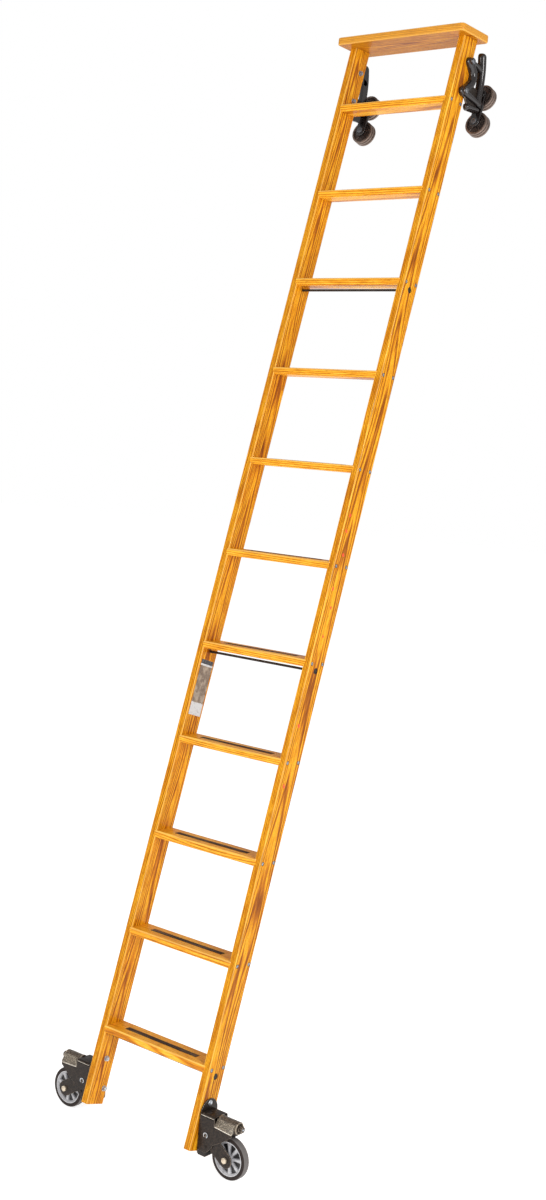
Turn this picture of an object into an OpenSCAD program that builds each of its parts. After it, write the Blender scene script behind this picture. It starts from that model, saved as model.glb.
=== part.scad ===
/* [Ladder frame] */
// Lean of the ladder from vertical, degrees
lean = 14.2; // [10:0.1:16]
// Width over the outer faces of the two stiles
ladder_w = 457.2; // [420:0.1:520]
// Thickness of a stile, across the ladder
stile_t = 25.4; // [24:0.1:30]
// Depth of a stile, square to the ladder's plane
stile_d = 76.2; // [74:0.1:80]
// Distance up the slope from the floor to the stile's square-cut foot
stile_foot = 66; // [60:1:75]
// Rounding of the stile's long edges
stile_round = 3; // [1:0.5:4]
// Height from one tread's top to the next
rise = 304.8; // [300:0.1:310]
// Height of the top step's underside above the top tread
top_gap = 202.2; // [195:0.1:210]

/* [Treads] */
// Thickness of a tread
tread_t = 24; // [22:0.5:26]
// Depth of a tread from front to back
tread_d = 81; // [79:1:84]
// How far a tread's nose stands out of the stiles
tread_nose = 4; // [2:1:8]
// Rounding of a tread's front edges
tread_round = 7; // [4:0.5:9]
// Depth of the housing that a tread's end sits in
housing_d = 6; // [4:0.5:8]
// Length of the grip strip on a tread
strip_l = 295; // [250:5:320]
// Width of the grip strip
strip_w = 20; // [15:1:26]

/* [Top step] */
// Length of the top step, across the ladder
top_l = 503.5; // [490:0.5:540]
// Depth of the top step
top_d = 164; // [160:1:168]
// Thickness of the top step
top_t = 25; // [22:1:27]
// How far the top step stands out in front of the stiles
top_nose = 51; // [45:1:55]
// Rounding of the top step's corners in plan
top_corner = 14; // [8:1:20]

/* [Bottom fixture] */
// Radius of the wheel over its tyre
wheel_r = 63.5; // [61:0.5:63.5]
// Width of the tyre
tyre_w = 25; // [22:1:26]
// Distance of the wheel's centre from the stile's outer face
hub_x = 108.4; // [106:0.1:109]
// Height of the arm's pivot
pivot_z = 115; // [113:0.5:116]
// Distance of the arm's pivot from the stile's outer face
pivot_x = 31.4; // [31:0.1:32]
// Radius of the spring barrel
barrel_r = 18.5; // [17.5:0.5:18.5]
// Height of the spring barrel's centre line
barrel_z = 161; // [161:0.5:162]

/* [Top fixture] */
// Radius of a rail roller
roller_r = 40; // [36:0.5:42]
// Width of a rail roller
roller_w = 28; // [24:1:28]
// Distance between the centres of the two rollers on one side
roller_pitch = 96; // [94:1:100]

/* [Hidden] */
$fn = 48;
e = 0.02;

oak = [0.90, 0.58, 0.18];
dark_steel = [0.17, 0.13, 0.12];
zinc = [0.62, 0.66, 0.70];
rubber_black = [0.12, 0.12, 0.12];

tread_count = 11;
half_w = ladder_w / 2;
inner_w = ladder_w - 2 * stile_t;
top_tread_z = tread_count * rise;
top_under_z = top_tread_z + top_gap;

// Fixture stations, measured back from the stiles' front edge line at floor level
cheek_y = [46, 49];
arm_y = [50, 54];
hub_y = 76.5;
tyre_y = hub_y - tyre_w / 2;
hub_half = 18;
fixture_w = 2 * (hub_y - cheek_y[0]);
plate_t = 4;
plate_y = 88;
plate_r = 38;
plate_top_z = 207;
plate_foot_z = 48;
plate_bolt_z = [97, 195];
hood_x = 61;
barrel_x = [62, 133];
pin_r = 5;
run_gap = 0.05;
leg_t = 6;
leg_tip_z = 171;
arm_lift = 8.5;
web_z = 62;

// Rail rollers, in the ladder's own plane
strap_n = 51;
strap_u = [3497, 3600];
roller_x = 2.4;
roller_n = 186;
roller_mid_u = 3496;
roller_u = [roller_mid_u - roller_pitch / 2, roller_mid_u + roller_pitch / 2];
carrier_n = [160, 170];

// The object's middle from front to back is put at Y = 0
front_y = stile_foot * sin(lean);
back_y = (roller_n + roller_w / 2) * cos(lean) + (roller_u[1] + roller_r) * sin(lean);
foot_y = -(front_y + back_y) / 2;

// Y of the stiles' front edge at height z
function edge_y(z) = foot_y + z * tan(lean);

// ---------- shared shapes ----------

// Rectangle with round corners, its low corner at the origin
module rounded_rect(w, h, r) {
    translate([r, 0]) square([w - 2 * r, h]);
    translate([0, r]) square([w, h - 2 * r]);
    for (x = [r, w - r], y = [r, h - r])
        translate([x, y]) circle(r);
}

// Straight bar with round ends from p to q, in the plane of the sketch.
// The bar is a hair narrower than its ends, so that their outlines cross cleanly.
module capsule(p, q, r) {
    d = q - p;
    half = 0.994 * r;
    translate(p) circle(r);
    translate(q) circle(r);
    translate(p) rotate(atan2(d[1], d[0])) translate([0, -half]) square([norm(d), 2 * half]);
}

// Puts children in the ladder's plane: X across, Y square to it, Z up the slope
module in_plane() {
    translate([0, foot_y, 0]) rotate([-lean, 0, 0]) children();
}

// Draws children as the right-hand (side 1) or left-hand (side -1) one
module on_side(side) {
    if (side > 0) children();
    else mirror([1, 0, 0]) children();
}

// Upright frame of the bottom fixture, at the stile's outer face
module at_foot() {
    translate([half_w, foot_y, 0]) children();
}

// Sloping frame of the top fixture, at the stile's outer face
module at_top() {
    in_plane() translate([half_w, 0, 0]) children();
}

// Cylinder along X from x0 to x1
module rod_x(x0, x1, r) {
    translate([x0, 0, 0]) rotate([0, 90, 0]) cylinder(h = x1 - x0, r = r);
}

// Cylinder along Y from y0 to y1
module rod_y(y0, y1, r) {
    translate([0, y0, 0]) rotate([-90, 0, 0]) cylinder(h = y1 - y0, r = r);
}

// Six-sided prism along X from x0 to x1, of width af across its flats
module hex_x(x0, x1, af) {
    translate([x0, 0, 0]) rotate([0, 90, 0]) cylinder(h = x1 - x0, d = af / cos(30), $fn = 6);
}

// Six-sided prism along Y from y0 to y1, of width af across its flats
module hex_y(y0, y1, af) {
    translate([0, y0, 0]) rotate([-90, 0, 0]) cylinder(h = y1 - y0, d = af / cos(30), $fn = 6);
}

// Sketch in X and Z, given its thickness from y0 to y1
module plate_xz(y0, y1) {
    translate([0, y1, 0]) rotate([90, 0, 0]) linear_extrude(height = y1 - y0) children();
}

// Sketch in Y and Z, given its thickness from x0 to x1
module plate_yz(x0, x1) {
    translate([x0, 0, 0]) rotate([90, 0, 90]) linear_extrude(height = x1 - x0) children();
}

// ---------- ladder frame ----------

// The wood of tread k, before its screw holes
module tread_blank(k) {
    z = k * rise;
    half_l = inner_w / 2 + housing_d;
    translate([0, edge_y(z) - tread_nose, z - tread_t])
        plate_yz(-half_l, half_l) {
            rounded_rect(tread_d, tread_t, tread_round);
            translate([tread_d / 2, 0]) square([tread_d / 2, tread_t]);
        }
}

tie_rod_r = 4;
tie_rod_drop = 36;
tie_rod_back = 40;
tie_head_r = 10;
tie_head_t = 3;
tie_treads = [1, 5, 9];

// One tie rod with a round head sunk in each stile
module tie_rod(k) {
    z = k * rise - tie_rod_drop;
    translate([0, edge_y(z) + tie_rod_back, z]) {
        rod_x(-half_w + 1, half_w - 1, tie_rod_r);
        for (side = [-1, 1])
            on_side(side) rod_x(half_w - 1 - tie_head_t, half_w - 1, tie_head_r);
    }
}

// Space that a tie rod's head is sunk in, open to the stile's outer face
module tie_rod_pocket(k) {
    z = k * rise - tie_rod_drop;
    translate([0, edge_y(z) + tie_rod_back, z])
        for (side = [-1, 1])
            on_side(side) rod_x(half_w - 1 - e, half_w + 1, tie_head_r);
}

screw_r = 2.2;
screw_head_r = 5;
screw_head_t = 2.5;
screw_l = 48;
screw_place = [[9, 12], [64, 16]];

// The four screws of tread k, two through each stile
module tread_screw_set(k) {
    z = k * rise;
    for (side = [-1, 1], p = screw_place)
        on_side(side) translate([0, edge_y(z) + p[0], z - p[1]]) {
            rod_x(half_w - screw_l, half_w - screw_head_t, screw_r);
            rod_x(half_w - screw_head_t, half_w, screw_head_r);
        }
}

cap_screw_back = [21, 58];
cap_screw_l = 70;
cap_head_r = 6;
cap_head_t = 3;

// The four screws that go down through the top step
module top_step_screw_set() {
    for (side = [-1, 1], y = cap_screw_back)
        translate([side * (half_w - stile_t / 2), edge_y(top_under_z) + y, top_under_z + top_t]) {
            translate([0, 0, -cap_screw_l]) cylinder(h = cap_screw_l - cap_head_t, r = screw_r);
            translate([0, 0, -cap_head_t]) cylinder(h = cap_head_t, r = cap_head_r);
        }
}

plate_bolt_r = 4;
bolt_head_r = 9;
nut_af = 13;
nut_t = 6.5;
washer_r = 9;
washer_t = 1.6;

// Round-headed bolt along X through a stile, with its washer and nut on the inner face
module stile_bolt(head_x) {
    inner_x = -stile_t;
    rod_x(inner_x - washer_t - nut_t - 3, head_x + 1, plate_bolt_r);
    rod_x(inner_x - washer_t, inner_x, washer_r);
    hex_x(inner_x - washer_t - nut_t, inner_x - washer_t, nut_af);
    rod_x(head_x, head_x + 2, bolt_head_r);
    translate([head_x + 2, 0, 0]) rotate([0, 90, 0]) cylinder(h = 2.5, r1 = bolt_head_r, r2 = 5);
}

// Holes for the bottom and top fixtures' bolts on the right-hand side
module stile_bolt_holes() {
    at_foot()
        for (z = plate_bolt_z)
            translate([0, plate_y, z]) rod_x(-stile_t - 1, plate_t + 1, plate_bolt_r);
    at_top()
        for (u = strap_u)
            translate([0, strap_n, u]) rod_x(-stile_t - 1, 1, plate_bolt_r);
}

// One stile, housed for the treads and drilled for its fasteners
module stile(side) {
    below = 2 * top_under_z;
    color(oak)
        on_side(side) difference() {
            intersection() {
                in_plane()
                    translate([half_w - stile_t, 0, stile_foot])
                        linear_extrude(height = top_under_z * 1.1)
                            rounded_rect(stile_t, stile_d, stile_round);
                translate([0, -below, 0]) cube([ladder_w, 2 * below, top_under_z]);
            }
            for (k = [1:tread_count]) {
                tread_blank(k);
                tread_screw_set(k);
            }
            for (k = tie_treads) {
                tie_rod(k);
                tie_rod_pocket(k);
            }
            top_step_screw_set();
            stile_bolt_holes();
        }
}

// Tread k, drilled for its screws
module tread(k) {
    color(oak)
        difference() {
            tread_blank(k);
            tread_screw_set(k);
        }
}

// Wide board that caps both stiles
module top_step() {
    color(oak)
        difference() {
            translate([-top_l / 2, edge_y(top_under_z) - top_nose, top_under_z])
                linear_extrude(height = top_t) rounded_rect(top_l, top_d, top_corner);
            top_step_screw_set();
        }
}

strip_t = 0.8;
strip_back = 36;

// Grip strips along the middle of the treads
module grip_strips() {
    color([0.16, 0.11, 0.09])
        for (k = [1:tread_count])
            translate([-strip_l / 2, edge_y(k * rise) + strip_back - strip_w / 2, k * rise])
                linear_extrude(height = strip_t) rounded_rect(strip_l, strip_w, 2);
}

// Tie rods under three of the treads
module tie_rods() {
    color(dark_steel)
        for (k = tie_treads) tie_rod(k);
}

// Screws that hold the treads
module tread_screws() {
    color(zinc)
        for (k = [1:tread_count]) tread_screw_set(k);
}

// Screws that hold the top step
module top_step_screws() {
    color(zinc) top_step_screw_set();
}

label_u = 1330;
label_l = 184;
label_w = 60;

// Plain label on the left stile's inner face
module label() {
    color("white")
        in_plane()
            translate([-half_w + stile_t, 8, label_u]) cube([0.4, label_w, label_l]);
}

// ---------- bottom fixture, drawn for the right-hand side ----------

// Plate against the stile's outer face, with a round top
module mount_plate(side) {
    color(dark_steel)
        on_side(side) at_foot() difference() {
            plate_yz(0, plate_t) {
                translate([plate_y, plate_top_z - plate_r]) circle(plate_r);
                translate([plate_y - plate_r, plate_foot_z])
                    square([2 * plate_r, plate_top_z - plate_r - plate_foot_z]);
            }
            for (z = plate_bolt_z)
                translate([0, plate_y, z]) rod_x(-1, plate_t + 1, plate_bolt_r);
        }
}

cheek_top_z = 178;
lip_z = [153, 145];
cheek_outline = [
    [plate_t, web_z], [plate_t, cheek_top_z], [hood_x - 1, cheek_top_z], [hood_x, lip_z[0]],
    [barrel_x[1] - 5, lip_z[1]], [barrel_x[1] - 5, lip_z[1] - 5], [97, 116], [61, 93], [54, 80],
    [36, web_z]
];

// Sloping strip that joins a cheek's outer part to the barrel
module barrel_saddle() {
    reach = barrel_x[1] - 5 - hood_x;
    plate_yz(hood_x, hood_x + reach)
        polygon([[cheek_y[0], 146], [cheek_y[0], 152], [60, 174], [66, 170], [cheek_y[1], 146]]);
}

// Open-bottomed box that carries the arm, the barrel and the foot
module housing(side) {
    back = cheek_y[0] + fixture_w;
    cheek_t = cheek_y[1] - cheek_y[0];
    roof_t = 3;
    color(dark_steel)
        on_side(side) at_foot() difference() {
            union() {
                plate_xz(cheek_y[0], cheek_y[1]) polygon(cheek_outline);
                plate_xz(back - cheek_t, back) polygon(cheek_outline);
                translate([plate_t, cheek_y[0], cheek_top_z - roof_t])
                    cube([hood_x - 1 - plate_t, fixture_w, roof_t]);
                translate([plate_t, cheek_y[0], web_z])
                    cube([32, fixture_w, roof_t]);
                barrel_saddle();
                translate([0, 2 * hub_y, 0]) mirror([0, 1, 0]) barrel_saddle();
            }
            translate([0, hub_y, barrel_z]) rod_x(hood_x - 2, barrel_x[1] + 1, barrel_r);
            translate([pivot_x, 0, pivot_z]) rod_y(cheek_y[0] - 1, back + 1, pin_r);
            translate([stop_x, 0, stop_z]) rod_y(cheek_y[0] - 1, back + 1, stop_r);
            translate([0, plate_y, plate_bolt_z[0]]) rod_x(plate_t, plate_t + 6, bolt_head_r + 1);
        }
}

barrel_wall = 3.5;
barrel_floor = 4;
shoe_t = 3;
shoe_x = [92, 128];
shoe_w = 24;

// Spring barrel, open at its outer end
module barrel(side) {
    color([0.22, 0.18, 0.16])
        on_side(side) at_foot() difference() {
            union() {
                translate([0, hub_y, barrel_z]) rod_x(barrel_x[0], barrel_x[1], barrel_r);
                translate([shoe_x[0], hub_y - shoe_w / 2, barrel_z - barrel_r])
                    cube([shoe_x[1] - shoe_x[0], shoe_w, 9]);
            }
            translate([0, hub_y, barrel_z]) {
                rod_x(barrel_x[0] + barrel_floor, barrel_x[1] + 1, barrel_r - barrel_wall);
                rod_x(barrel_x[0] - 1, barrel_x[1], rod_r + 0.4);
            }
        }
}

// Rubber linings under the barrels, above the tyres
module brake_shoes() {
    color(rubber_black)
        for (side = [-1, 1])
            on_side(side) at_foot()
                translate([shoe_x[0], hub_y - shoe_w / 2, barrel_z - barrel_r - shoe_t])
                    cube([shoe_x[1] - shoe_x[0], shoe_w, shoe_t]);
}

foot_block = [30, 53, 15];

// Rubber blocks under the housings
module rubber_feet() {
    color(rubber_black)
        for (side = [-1, 1])
            on_side(side) at_foot()
                translate([plate_t, hub_y - foot_block[1] / 2, web_z - foot_block[2]])
                    plate_xz(0, foot_block[1])
                        rounded_rect(foot_block[0], foot_block[2], 3);
}

// Pins that the arms turn on, each with a head at the back and an open clip in front
module pivot_pins() {
    back = cheek_y[0] + fixture_w;
    color(zinc)
        for (side = [-1, 1])
            on_side(side) at_foot() translate([pivot_x, 0, pivot_z]) {
                rod_y(cheek_y[0] - 4, back, pin_r);
                rod_y(back, back + 3, 8);
                difference() {
                    rod_y(cheek_y[0] - 1.8, cheek_y[0] - 0.3, 9);
                    translate([-3, cheek_y[0] - 3, -12]) cube([6, 4, 9]);
                }
            }
}

arm_end_r = 24;
arm_dx = hub_x - pivot_x;
arm_dz = wheel_r - pivot_z;
arm_len = norm([arm_dx, arm_dz]);
stop_r = 4;
stop_gap = 0.4;
stop_along = 22;
// The stop pin lies square to the arm's lower edge
stop_off = arm_end_r + stop_r + stop_gap;
stop_x = pivot_x + (stop_along * arm_dx + stop_off * arm_dz) / arm_len;
stop_z = pivot_z + (stop_along * arm_dz - stop_off * arm_dx) / arm_len;

// Pins that the arms rest on when the wheels are down
module stop_pins() {
    back = cheek_y[0] + fixture_w;
    color(zinc)
        for (side = [-1, 1])
            on_side(side) at_foot() translate([stop_x, 0, stop_z])
                rod_y(cheek_y[0] - 2, back + 2, stop_r);
}

// Bolts that hold both mount plates to the stiles
module plate_bolts() {
    color(zinc)
        for (side = [-1, 1], z = plate_bolt_z)
            on_side(side) at_foot() translate([0, plate_y, z]) stile_bolt(plate_t);
}

rod_r = 3;
notch_w = 7.6;
leg_w = 20;

// Arm: two plates on a pivot tube, with a notched leg that pulls the draw rod
module arm(side) {
    back = 2 * hub_y - arm_y[1];
    tube_r = 9;
    color(dark_steel)
        on_side(side) at_foot() difference() {
            union() {
                for (y = [arm_y[0], back])
                    plate_xz(y, y + arm_y[1] - arm_y[0])
                        capsule([pivot_x, pivot_z], [hub_x, wheel_r], arm_end_r);
                translate([pivot_x, 0, pivot_z]) rod_y(arm_y[0] + 1, back + 2, tube_r);
                translate([pivot_x - leg_t / 2, hub_y - leg_w / 2, pivot_z])
                    cube([leg_t, leg_w, leg_tip_z - pivot_z]);
            }
            translate([pivot_x, 0, pivot_z]) rod_y(arm_y[0] - 1, back + 5, pin_r + run_gap);
            translate([hub_x, 0, wheel_r]) rod_y(arm_y[0] - 1, back + 5, pin_r);
            translate([pivot_x - leg_t, hub_y - notch_w / 2, barrel_z - notch_w / 2])
                cube([2 * leg_t, notch_w, 30]);
        }
}

// Axle bolt with a six-sided head in front and a nut behind
module axle_bolt(side) {
    rear = 2 * hub_y - arm_y[0];
    color(zinc)
        on_side(side) at_foot() translate([hub_x, 0, wheel_r]) {
            rod_y(arm_y[0] - 2, rear + 11, pin_r);
            hex_y(arm_y[0] - 6, arm_y[0], 17);
            hex_y(rear, rear + 8, 17);
        }
}

// Two rings that keep the hub clear of the arm's plates
module axle_spacers(side) {
    end_play = 0.2;
    color(zinc)
        on_side(side) at_foot() translate([hub_x, 0, wheel_r]) difference() {
            union() {
                rod_y(arm_y[1], hub_y - hub_half - end_play, 9);
                rod_y(hub_y + hub_half + end_play, 2 * hub_y - arm_y[1], 9);
            }
            rod_y(0, 2 * hub_y, pin_r);
        }
}

tyre_inner_r = 51;
rim_inner_r = 44;
hub_r = 15;
bush_r = 9;
spoke_count = 8;
spoke_d = 12;
spoke_w = 11;
web_half = 2;

// Rim with broad spokes on a thin web, and a plain hub
module rim(side) {
    color([0.58, 0.57, 0.60])
        on_side(side) at_foot() translate([hub_x, hub_y, wheel_r]) difference() {
            union() {
                difference() {
                    rod_y(-tyre_w / 2 + 1.5, tyre_w / 2 - 1.5, tyre_inner_r);
                    rod_y(-tyre_w, tyre_w, rim_inner_r);
                }
                for (i = [0:spoke_count - 1])
                    rotate([0, i * 360 / spoke_count, 0])
                        translate([hub_r - 1.5, -spoke_d / 2, -spoke_w / 2])
                            cube([rim_inner_r - hub_r + 3, spoke_d, spoke_w]);
                rod_y(-web_half, web_half, rim_inner_r + 1);
                rod_y(-hub_half, hub_half, hub_r);
            }
            rod_y(-hub_half - 1, hub_half + 1, bush_r);
        }
}

// Rubber tyre with round shoulders
module tyre(side) {
    color(rubber_black)
        on_side(side) at_foot() translate([hub_x, hub_y, wheel_r])
            rotate([90, 0, 0])
                rotate_extrude($fn = 96)
                    translate([tyre_inner_r, -tyre_w / 2]) {
                        rounded_rect(wheel_r - tyre_inner_r, tyre_w, 4);
                        square([4, tyre_w]);
                    }
}

// Plain bearing between the hub and the axle
module bush(side) {
    color([0.75, 0.6, 0.35])
        on_side(side) at_foot() translate([hub_x, hub_y, wheel_r]) difference() {
            rod_y(-hub_half, hub_half, bush_r);
            rod_y(-hub_half - 1, hub_half + 1, pin_r + run_gap);
        }
}

rod_head_t = 4;
rod_head_gap = 0.3;
rod_end_x = 147;
spring_end_x = 124;

// Rod that the arm's leg pulls inwards, with a round head behind the leg
module draw_rod(side) {
    head_x = pivot_x - leg_t / 2 - rod_head_gap;
    color(zinc)
        on_side(side) at_foot() translate([0, hub_y, barrel_z]) {
            rod_x(head_x - 1, rod_end_x, rod_r);
            rod_x(head_x - rod_head_t, head_x, 7.5);
        }
}

// Washer and long nut at the rod's outer end
module rod_nut(side) {
    color(dark_steel)
        on_side(side) at_foot() translate([0, hub_y, barrel_z]) difference() {
            union() {
                rod_x(spring_end_x, spring_end_x + 2.5, 13.5);
                hex_x(spring_end_x + 2.5, rod_end_x - 1, nut_af + 4);
            }
            rod_x(spring_end_x - 1, rod_end_x, rod_r);
        }
}

coil_turns = 9;
coil_steps = 14;
coil_sides = 6;
coil_r = 10.5;
wire_r = 1.4;

// Point on the coil's surface: station i along the wire, corner j around it
function coil_point(i, j) =
    let (turn = 360 * i / coil_steps)
    let (start = barrel_x[0] + barrel_floor + wire_r + 0.1)
    let (run = spring_end_x - wire_r - 0.1 - start)
    let (x = start + run * i / (coil_steps * coil_turns))
    let (a = 360 * j / coil_sides)
    let (r = coil_r + wire_r * cos(a))
    [x + wire_r * sin(a), r * cos(turn), r * sin(turn)];

// Compression spring inside the barrel
module spring(side) {
    n = coil_steps * coil_turns;
    points = [for (i = [0:n], j = [0:coil_sides - 1]) coil_point(i, j)];
    wall = [for (i = [0:n - 1], j = [0:coil_sides - 1])
        let (k = (j + 1) % coil_sides)
        [i * coil_sides + j, (i + 1) * coil_sides + j, (i + 1) * coil_sides + k, i * coil_sides + k]];
    ends = [[for (j = [0:coil_sides - 1]) j],
        [for (j = [coil_sides - 1:-1:0]) n * coil_sides + j]];
    color(zinc)
        on_side(side) at_foot() translate([0, hub_y, barrel_z])
            polyhedron(points = points, faces = concat(wall, ends));
}

// ---------- top fixture, drawn for the right-hand side ----------

finger_path = [[144, 3502], [134, 3584], [112, 3648]];
finger_r = 14.5;
strap_path = [[strap_n, strap_u[0]], [86, 3540], [86, 3574], [strap_n, strap_u[1]]];
strap_r = 15;
link_r = 10;
lug_path = [[92, 3463], [146, 3479]];
lug_r = 11;
web_t = [3, 11];
bracket_t = 22;

// Cast bracket: a bowed strap on the stile, a tall finger behind it, a link and a webbed foot
module top_bracket(side) {
    color(dark_steel)
        on_side(side) at_top() difference() {
            union() {
                plate_yz(0, bracket_t) {
                    for (i = [0:2])
                        capsule(strap_path[i], strap_path[i + 1], strap_r);
                    for (i = [0:1])
                        capsule(finger_path[i], finger_path[i + 1], finger_r);
                    capsule(strap_path[0], finger_path[0], strap_r - 0.8);
                    capsule(strap_path[3], [124, strap_u[1] + 5], link_r);
                    capsule(lug_path[0], lug_path[1], lug_r);
                    translate([finger_path[0][0] - 4, finger_path[0][1] - 13])
                        square([carrier_n[0] - finger_path[0][0] + 4, 26]);
                }
                plate_yz(web_t[0], web_t[1])
                    polygon([strap_path[0], strap_path[1], [138, 3540], finger_path[0], lug_path[1], lug_path[0]]);
            }
            for (u = strap_u)
                translate([0, strap_n, u]) rod_x(-1, bracket_t + 1, plate_bolt_r);
        }
}

carrier_r = 18;
axle_r = 6;
boss_r = 12;
end_play = 0.3;

// Plate across the bracket's back that holds both roller axles
module roller_carrier(side) {
    near = roller_n - roller_w / 2;
    color(dark_steel)
        on_side(side) at_top() difference() {
            union() {
                plate_xz(carrier_n[0], carrier_n[1])
                    capsule([roller_x, roller_u[0]], [roller_x, roller_u[1]], carrier_r);
                for (u = roller_u)
                    translate([roller_x, 0, u]) rod_y(carrier_n[1] - 1, near - end_play, boss_r);
            }
            for (u = roller_u)
                translate([roller_x, 0, u]) rod_y(carrier_n[0] - 1, near + 1, axle_r);
        }
}

// Bolts that hold both top brackets to the stiles
module bracket_bolts() {
    color(zinc)
        for (side = [-1, 1], u = strap_u)
            on_side(side) at_top() translate([0, strap_n, u]) stile_bolt(bracket_t);
}

// Bolts that the four rollers turn on, each with a head in front and a nut behind
module roller_axles() {
    far = roller_n + roller_w / 2;
    color(zinc)
        for (side = [-1, 1], u = roller_u)
            on_side(side) at_top() translate([roller_x, 0, u]) {
                rod_y(carrier_n[0] - 2, far - 1, axle_r);
                hex_y(carrier_n[0] - 5, carrier_n[0], 19);
                rod_y(far - 5 + end_play, far - 1, 11);
            }
}

roller_dish = 5;
roller_rim = 7;

// Rail roller with dished faces
module roller(side, u) {
    color([0.2, 0.17, 0.16])
        on_side(side) at_top() translate([roller_x, roller_n, u]) difference() {
            rod_y(-roller_w / 2, roller_w / 2, roller_r);
            difference() {
                union() {
                    rod_y(-roller_w, -roller_w / 2 + roller_dish, roller_r - roller_rim);
                    rod_y(roller_w / 2 - roller_dish, roller_w, roller_r - roller_rim);
                }
                rod_y(-roller_w / 2, roller_w / 2 - roller_dish, boss_r);
            }
            rod_y(-roller_w, roller_w, axle_r + run_gap);
        }
}

stile(-1);  // stile_left
stile(1);  // stile_right
tread(1);  // tread_01
tread(2);  // tread_02
tread(3);  // tread_03
tread(4);  // tread_04
tread(5);  // tread_05
tread(6);  // tread_06
tread(7);  // tread_07
tread(8);  // tread_08
tread(9);  // tread_09
tread(10);  // tread_10
tread(11);  // tread_11
top_step();
grip_strips();
tie_rods();
tread_screws();
top_step_screws();
label();
mount_plate(-1);  // mount_plate_left
mount_plate(1);  // mount_plate_right
housing(-1);  // housing_left
housing(1);  // housing_right
barrel(-1);  // barrel_left
barrel(1);  // barrel_right
brake_shoes();
rubber_feet();
pivot_pins();
stop_pins();
plate_bolts();
arm(-1);  // arm_left
arm(1);  // arm_right
axle_bolt(-1);  // axle_bolt_left
axle_bolt(1);  // axle_bolt_right
axle_spacers(-1);  // axle_spacers_left
axle_spacers(1);  // axle_spacers_right
rim(-1);  // rim_left
rim(1);  // rim_right
tyre(-1);  // tyre_left
tyre(1);  // tyre_right
bush(-1);  // bush_left
bush(1);  // bush_right
draw_rod(-1);  // draw_rod_left
draw_rod(1);  // draw_rod_right
rod_nut(-1);  // rod_nut_left
rod_nut(1);  // rod_nut_right
spring(-1);  // spring_left
spring(1);  // spring_right
top_bracket(-1);  // top_bracket_left
top_bracket(1);  // top_bracket_right
roller_carrier(-1);  // roller_carrier_left
roller_carrier(1);  // roller_carrier_right
bracket_bolts();
roller_axles();
roller(-1, roller_u[1]);  // roller_upper_left
roller(1, roller_u[1]);  // roller_upper_right
roller(-1, roller_u[0]);  // roller_lower_left
roller(1, roller_u[0]);  // roller_lower_right
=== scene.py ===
"""Rolling wooden ladder: the finished model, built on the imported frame.

Lengths in the classes are millimetres, and become metres when a mesh is made.
Three systems of coordinates are used:

* the row frame: X to the right, Y towards the rail, Z up, with the floor at Z = 0;
* the foot frame of one side: x outwards from the stile's outer face, y back from the stiles'
  front edge line at floor level, z up;
* the plane frame of one side: x outwards from the stile's outer face, n square to the ladder's
  plane and u up its slope.
"""

from __future__ import annotations

import logging
import math
from dataclasses import dataclass, field
from enum import Enum
from typing import Any, Iterable, Sequence

import bmesh
import bpy
import numpy as np
from mathutils import Matrix, Vector


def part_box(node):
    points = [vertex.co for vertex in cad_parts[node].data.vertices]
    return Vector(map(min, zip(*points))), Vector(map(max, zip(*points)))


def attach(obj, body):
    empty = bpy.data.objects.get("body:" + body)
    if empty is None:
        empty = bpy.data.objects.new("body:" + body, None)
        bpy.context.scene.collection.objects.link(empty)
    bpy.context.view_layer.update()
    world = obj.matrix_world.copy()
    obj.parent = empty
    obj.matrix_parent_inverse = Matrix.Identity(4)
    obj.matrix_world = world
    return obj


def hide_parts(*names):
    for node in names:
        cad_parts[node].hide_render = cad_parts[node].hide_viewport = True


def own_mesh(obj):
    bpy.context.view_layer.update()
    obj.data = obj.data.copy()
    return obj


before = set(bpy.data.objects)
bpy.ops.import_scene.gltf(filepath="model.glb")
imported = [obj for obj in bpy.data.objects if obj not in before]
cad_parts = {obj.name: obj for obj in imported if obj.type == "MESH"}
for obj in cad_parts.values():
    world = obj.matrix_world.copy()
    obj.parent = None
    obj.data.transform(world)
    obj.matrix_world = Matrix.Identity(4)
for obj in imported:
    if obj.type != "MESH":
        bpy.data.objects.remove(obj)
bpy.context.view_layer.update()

LOG = logging.getLogger("ladder")

MM = 0.001
# Ladder, in the row frame
LEAN = math.radians(14.2)
TREADS = 11
RISE = 304.8
STILE_T = 25.4
# Foot fixture, in the foot frame
HUB_Y = 76.5
HUB_X = 108.4
PIVOT = (31.4, 115.0)
PLATE_T = 4.0
PLATE_Y = 88.0
PLATE_BOLT_Z = (97.0, 195.0)
# Rail fixture, in the plane frame
BRACKET_T = 22.0
STRAP_N = 51.0
STRAP_U = (3497.0, 3600.0)
ROLLER_X = 2.4
ROLLER_MID = 3496.0
ROLLER_PITCH = 96.0
ROLLER_U = (ROLLER_MID - ROLLER_PITCH / 2, ROLLER_MID + ROLLER_PITCH / 2)
# Meshes
SMOOTH_ANGLE = math.radians(38)
MERGE_DISTANCE = 2e-6


def box_mm(node: str) -> tuple[np.ndarray, np.ndarray]:
    """Lowest and highest corner of a CAD node.

    Args:
        node: name of the node.

    Returns:
        The two corners in millimetres.
    """
    low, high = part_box(node)
    return np.array(low) / MM, np.array(high) / MM


FOOT_Y = float(np.mean([corner[1] for corner in box_mm("tyre_right")])) - HUB_Y
HALF_W = float(box_mm("stile_right")[1][0])
INNER_W = 2 * (HALF_W - STILE_T)


class Side(Enum):
    """Side of the ladder that a fixture is on, as the sign of its X."""

    LEFT = -1
    RIGHT = 1

    @property
    def word(self) -> str:
        """The side's name as node names spell it."""
        return self.name.lower()


class Plane(Enum):
    """Plane that an outline is drawn in, as the columns of its two directions and its depth."""

    XZ = (0, 2, 1)
    YZ = (1, 2, 0)
    XY = (0, 1, 2)


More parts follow.
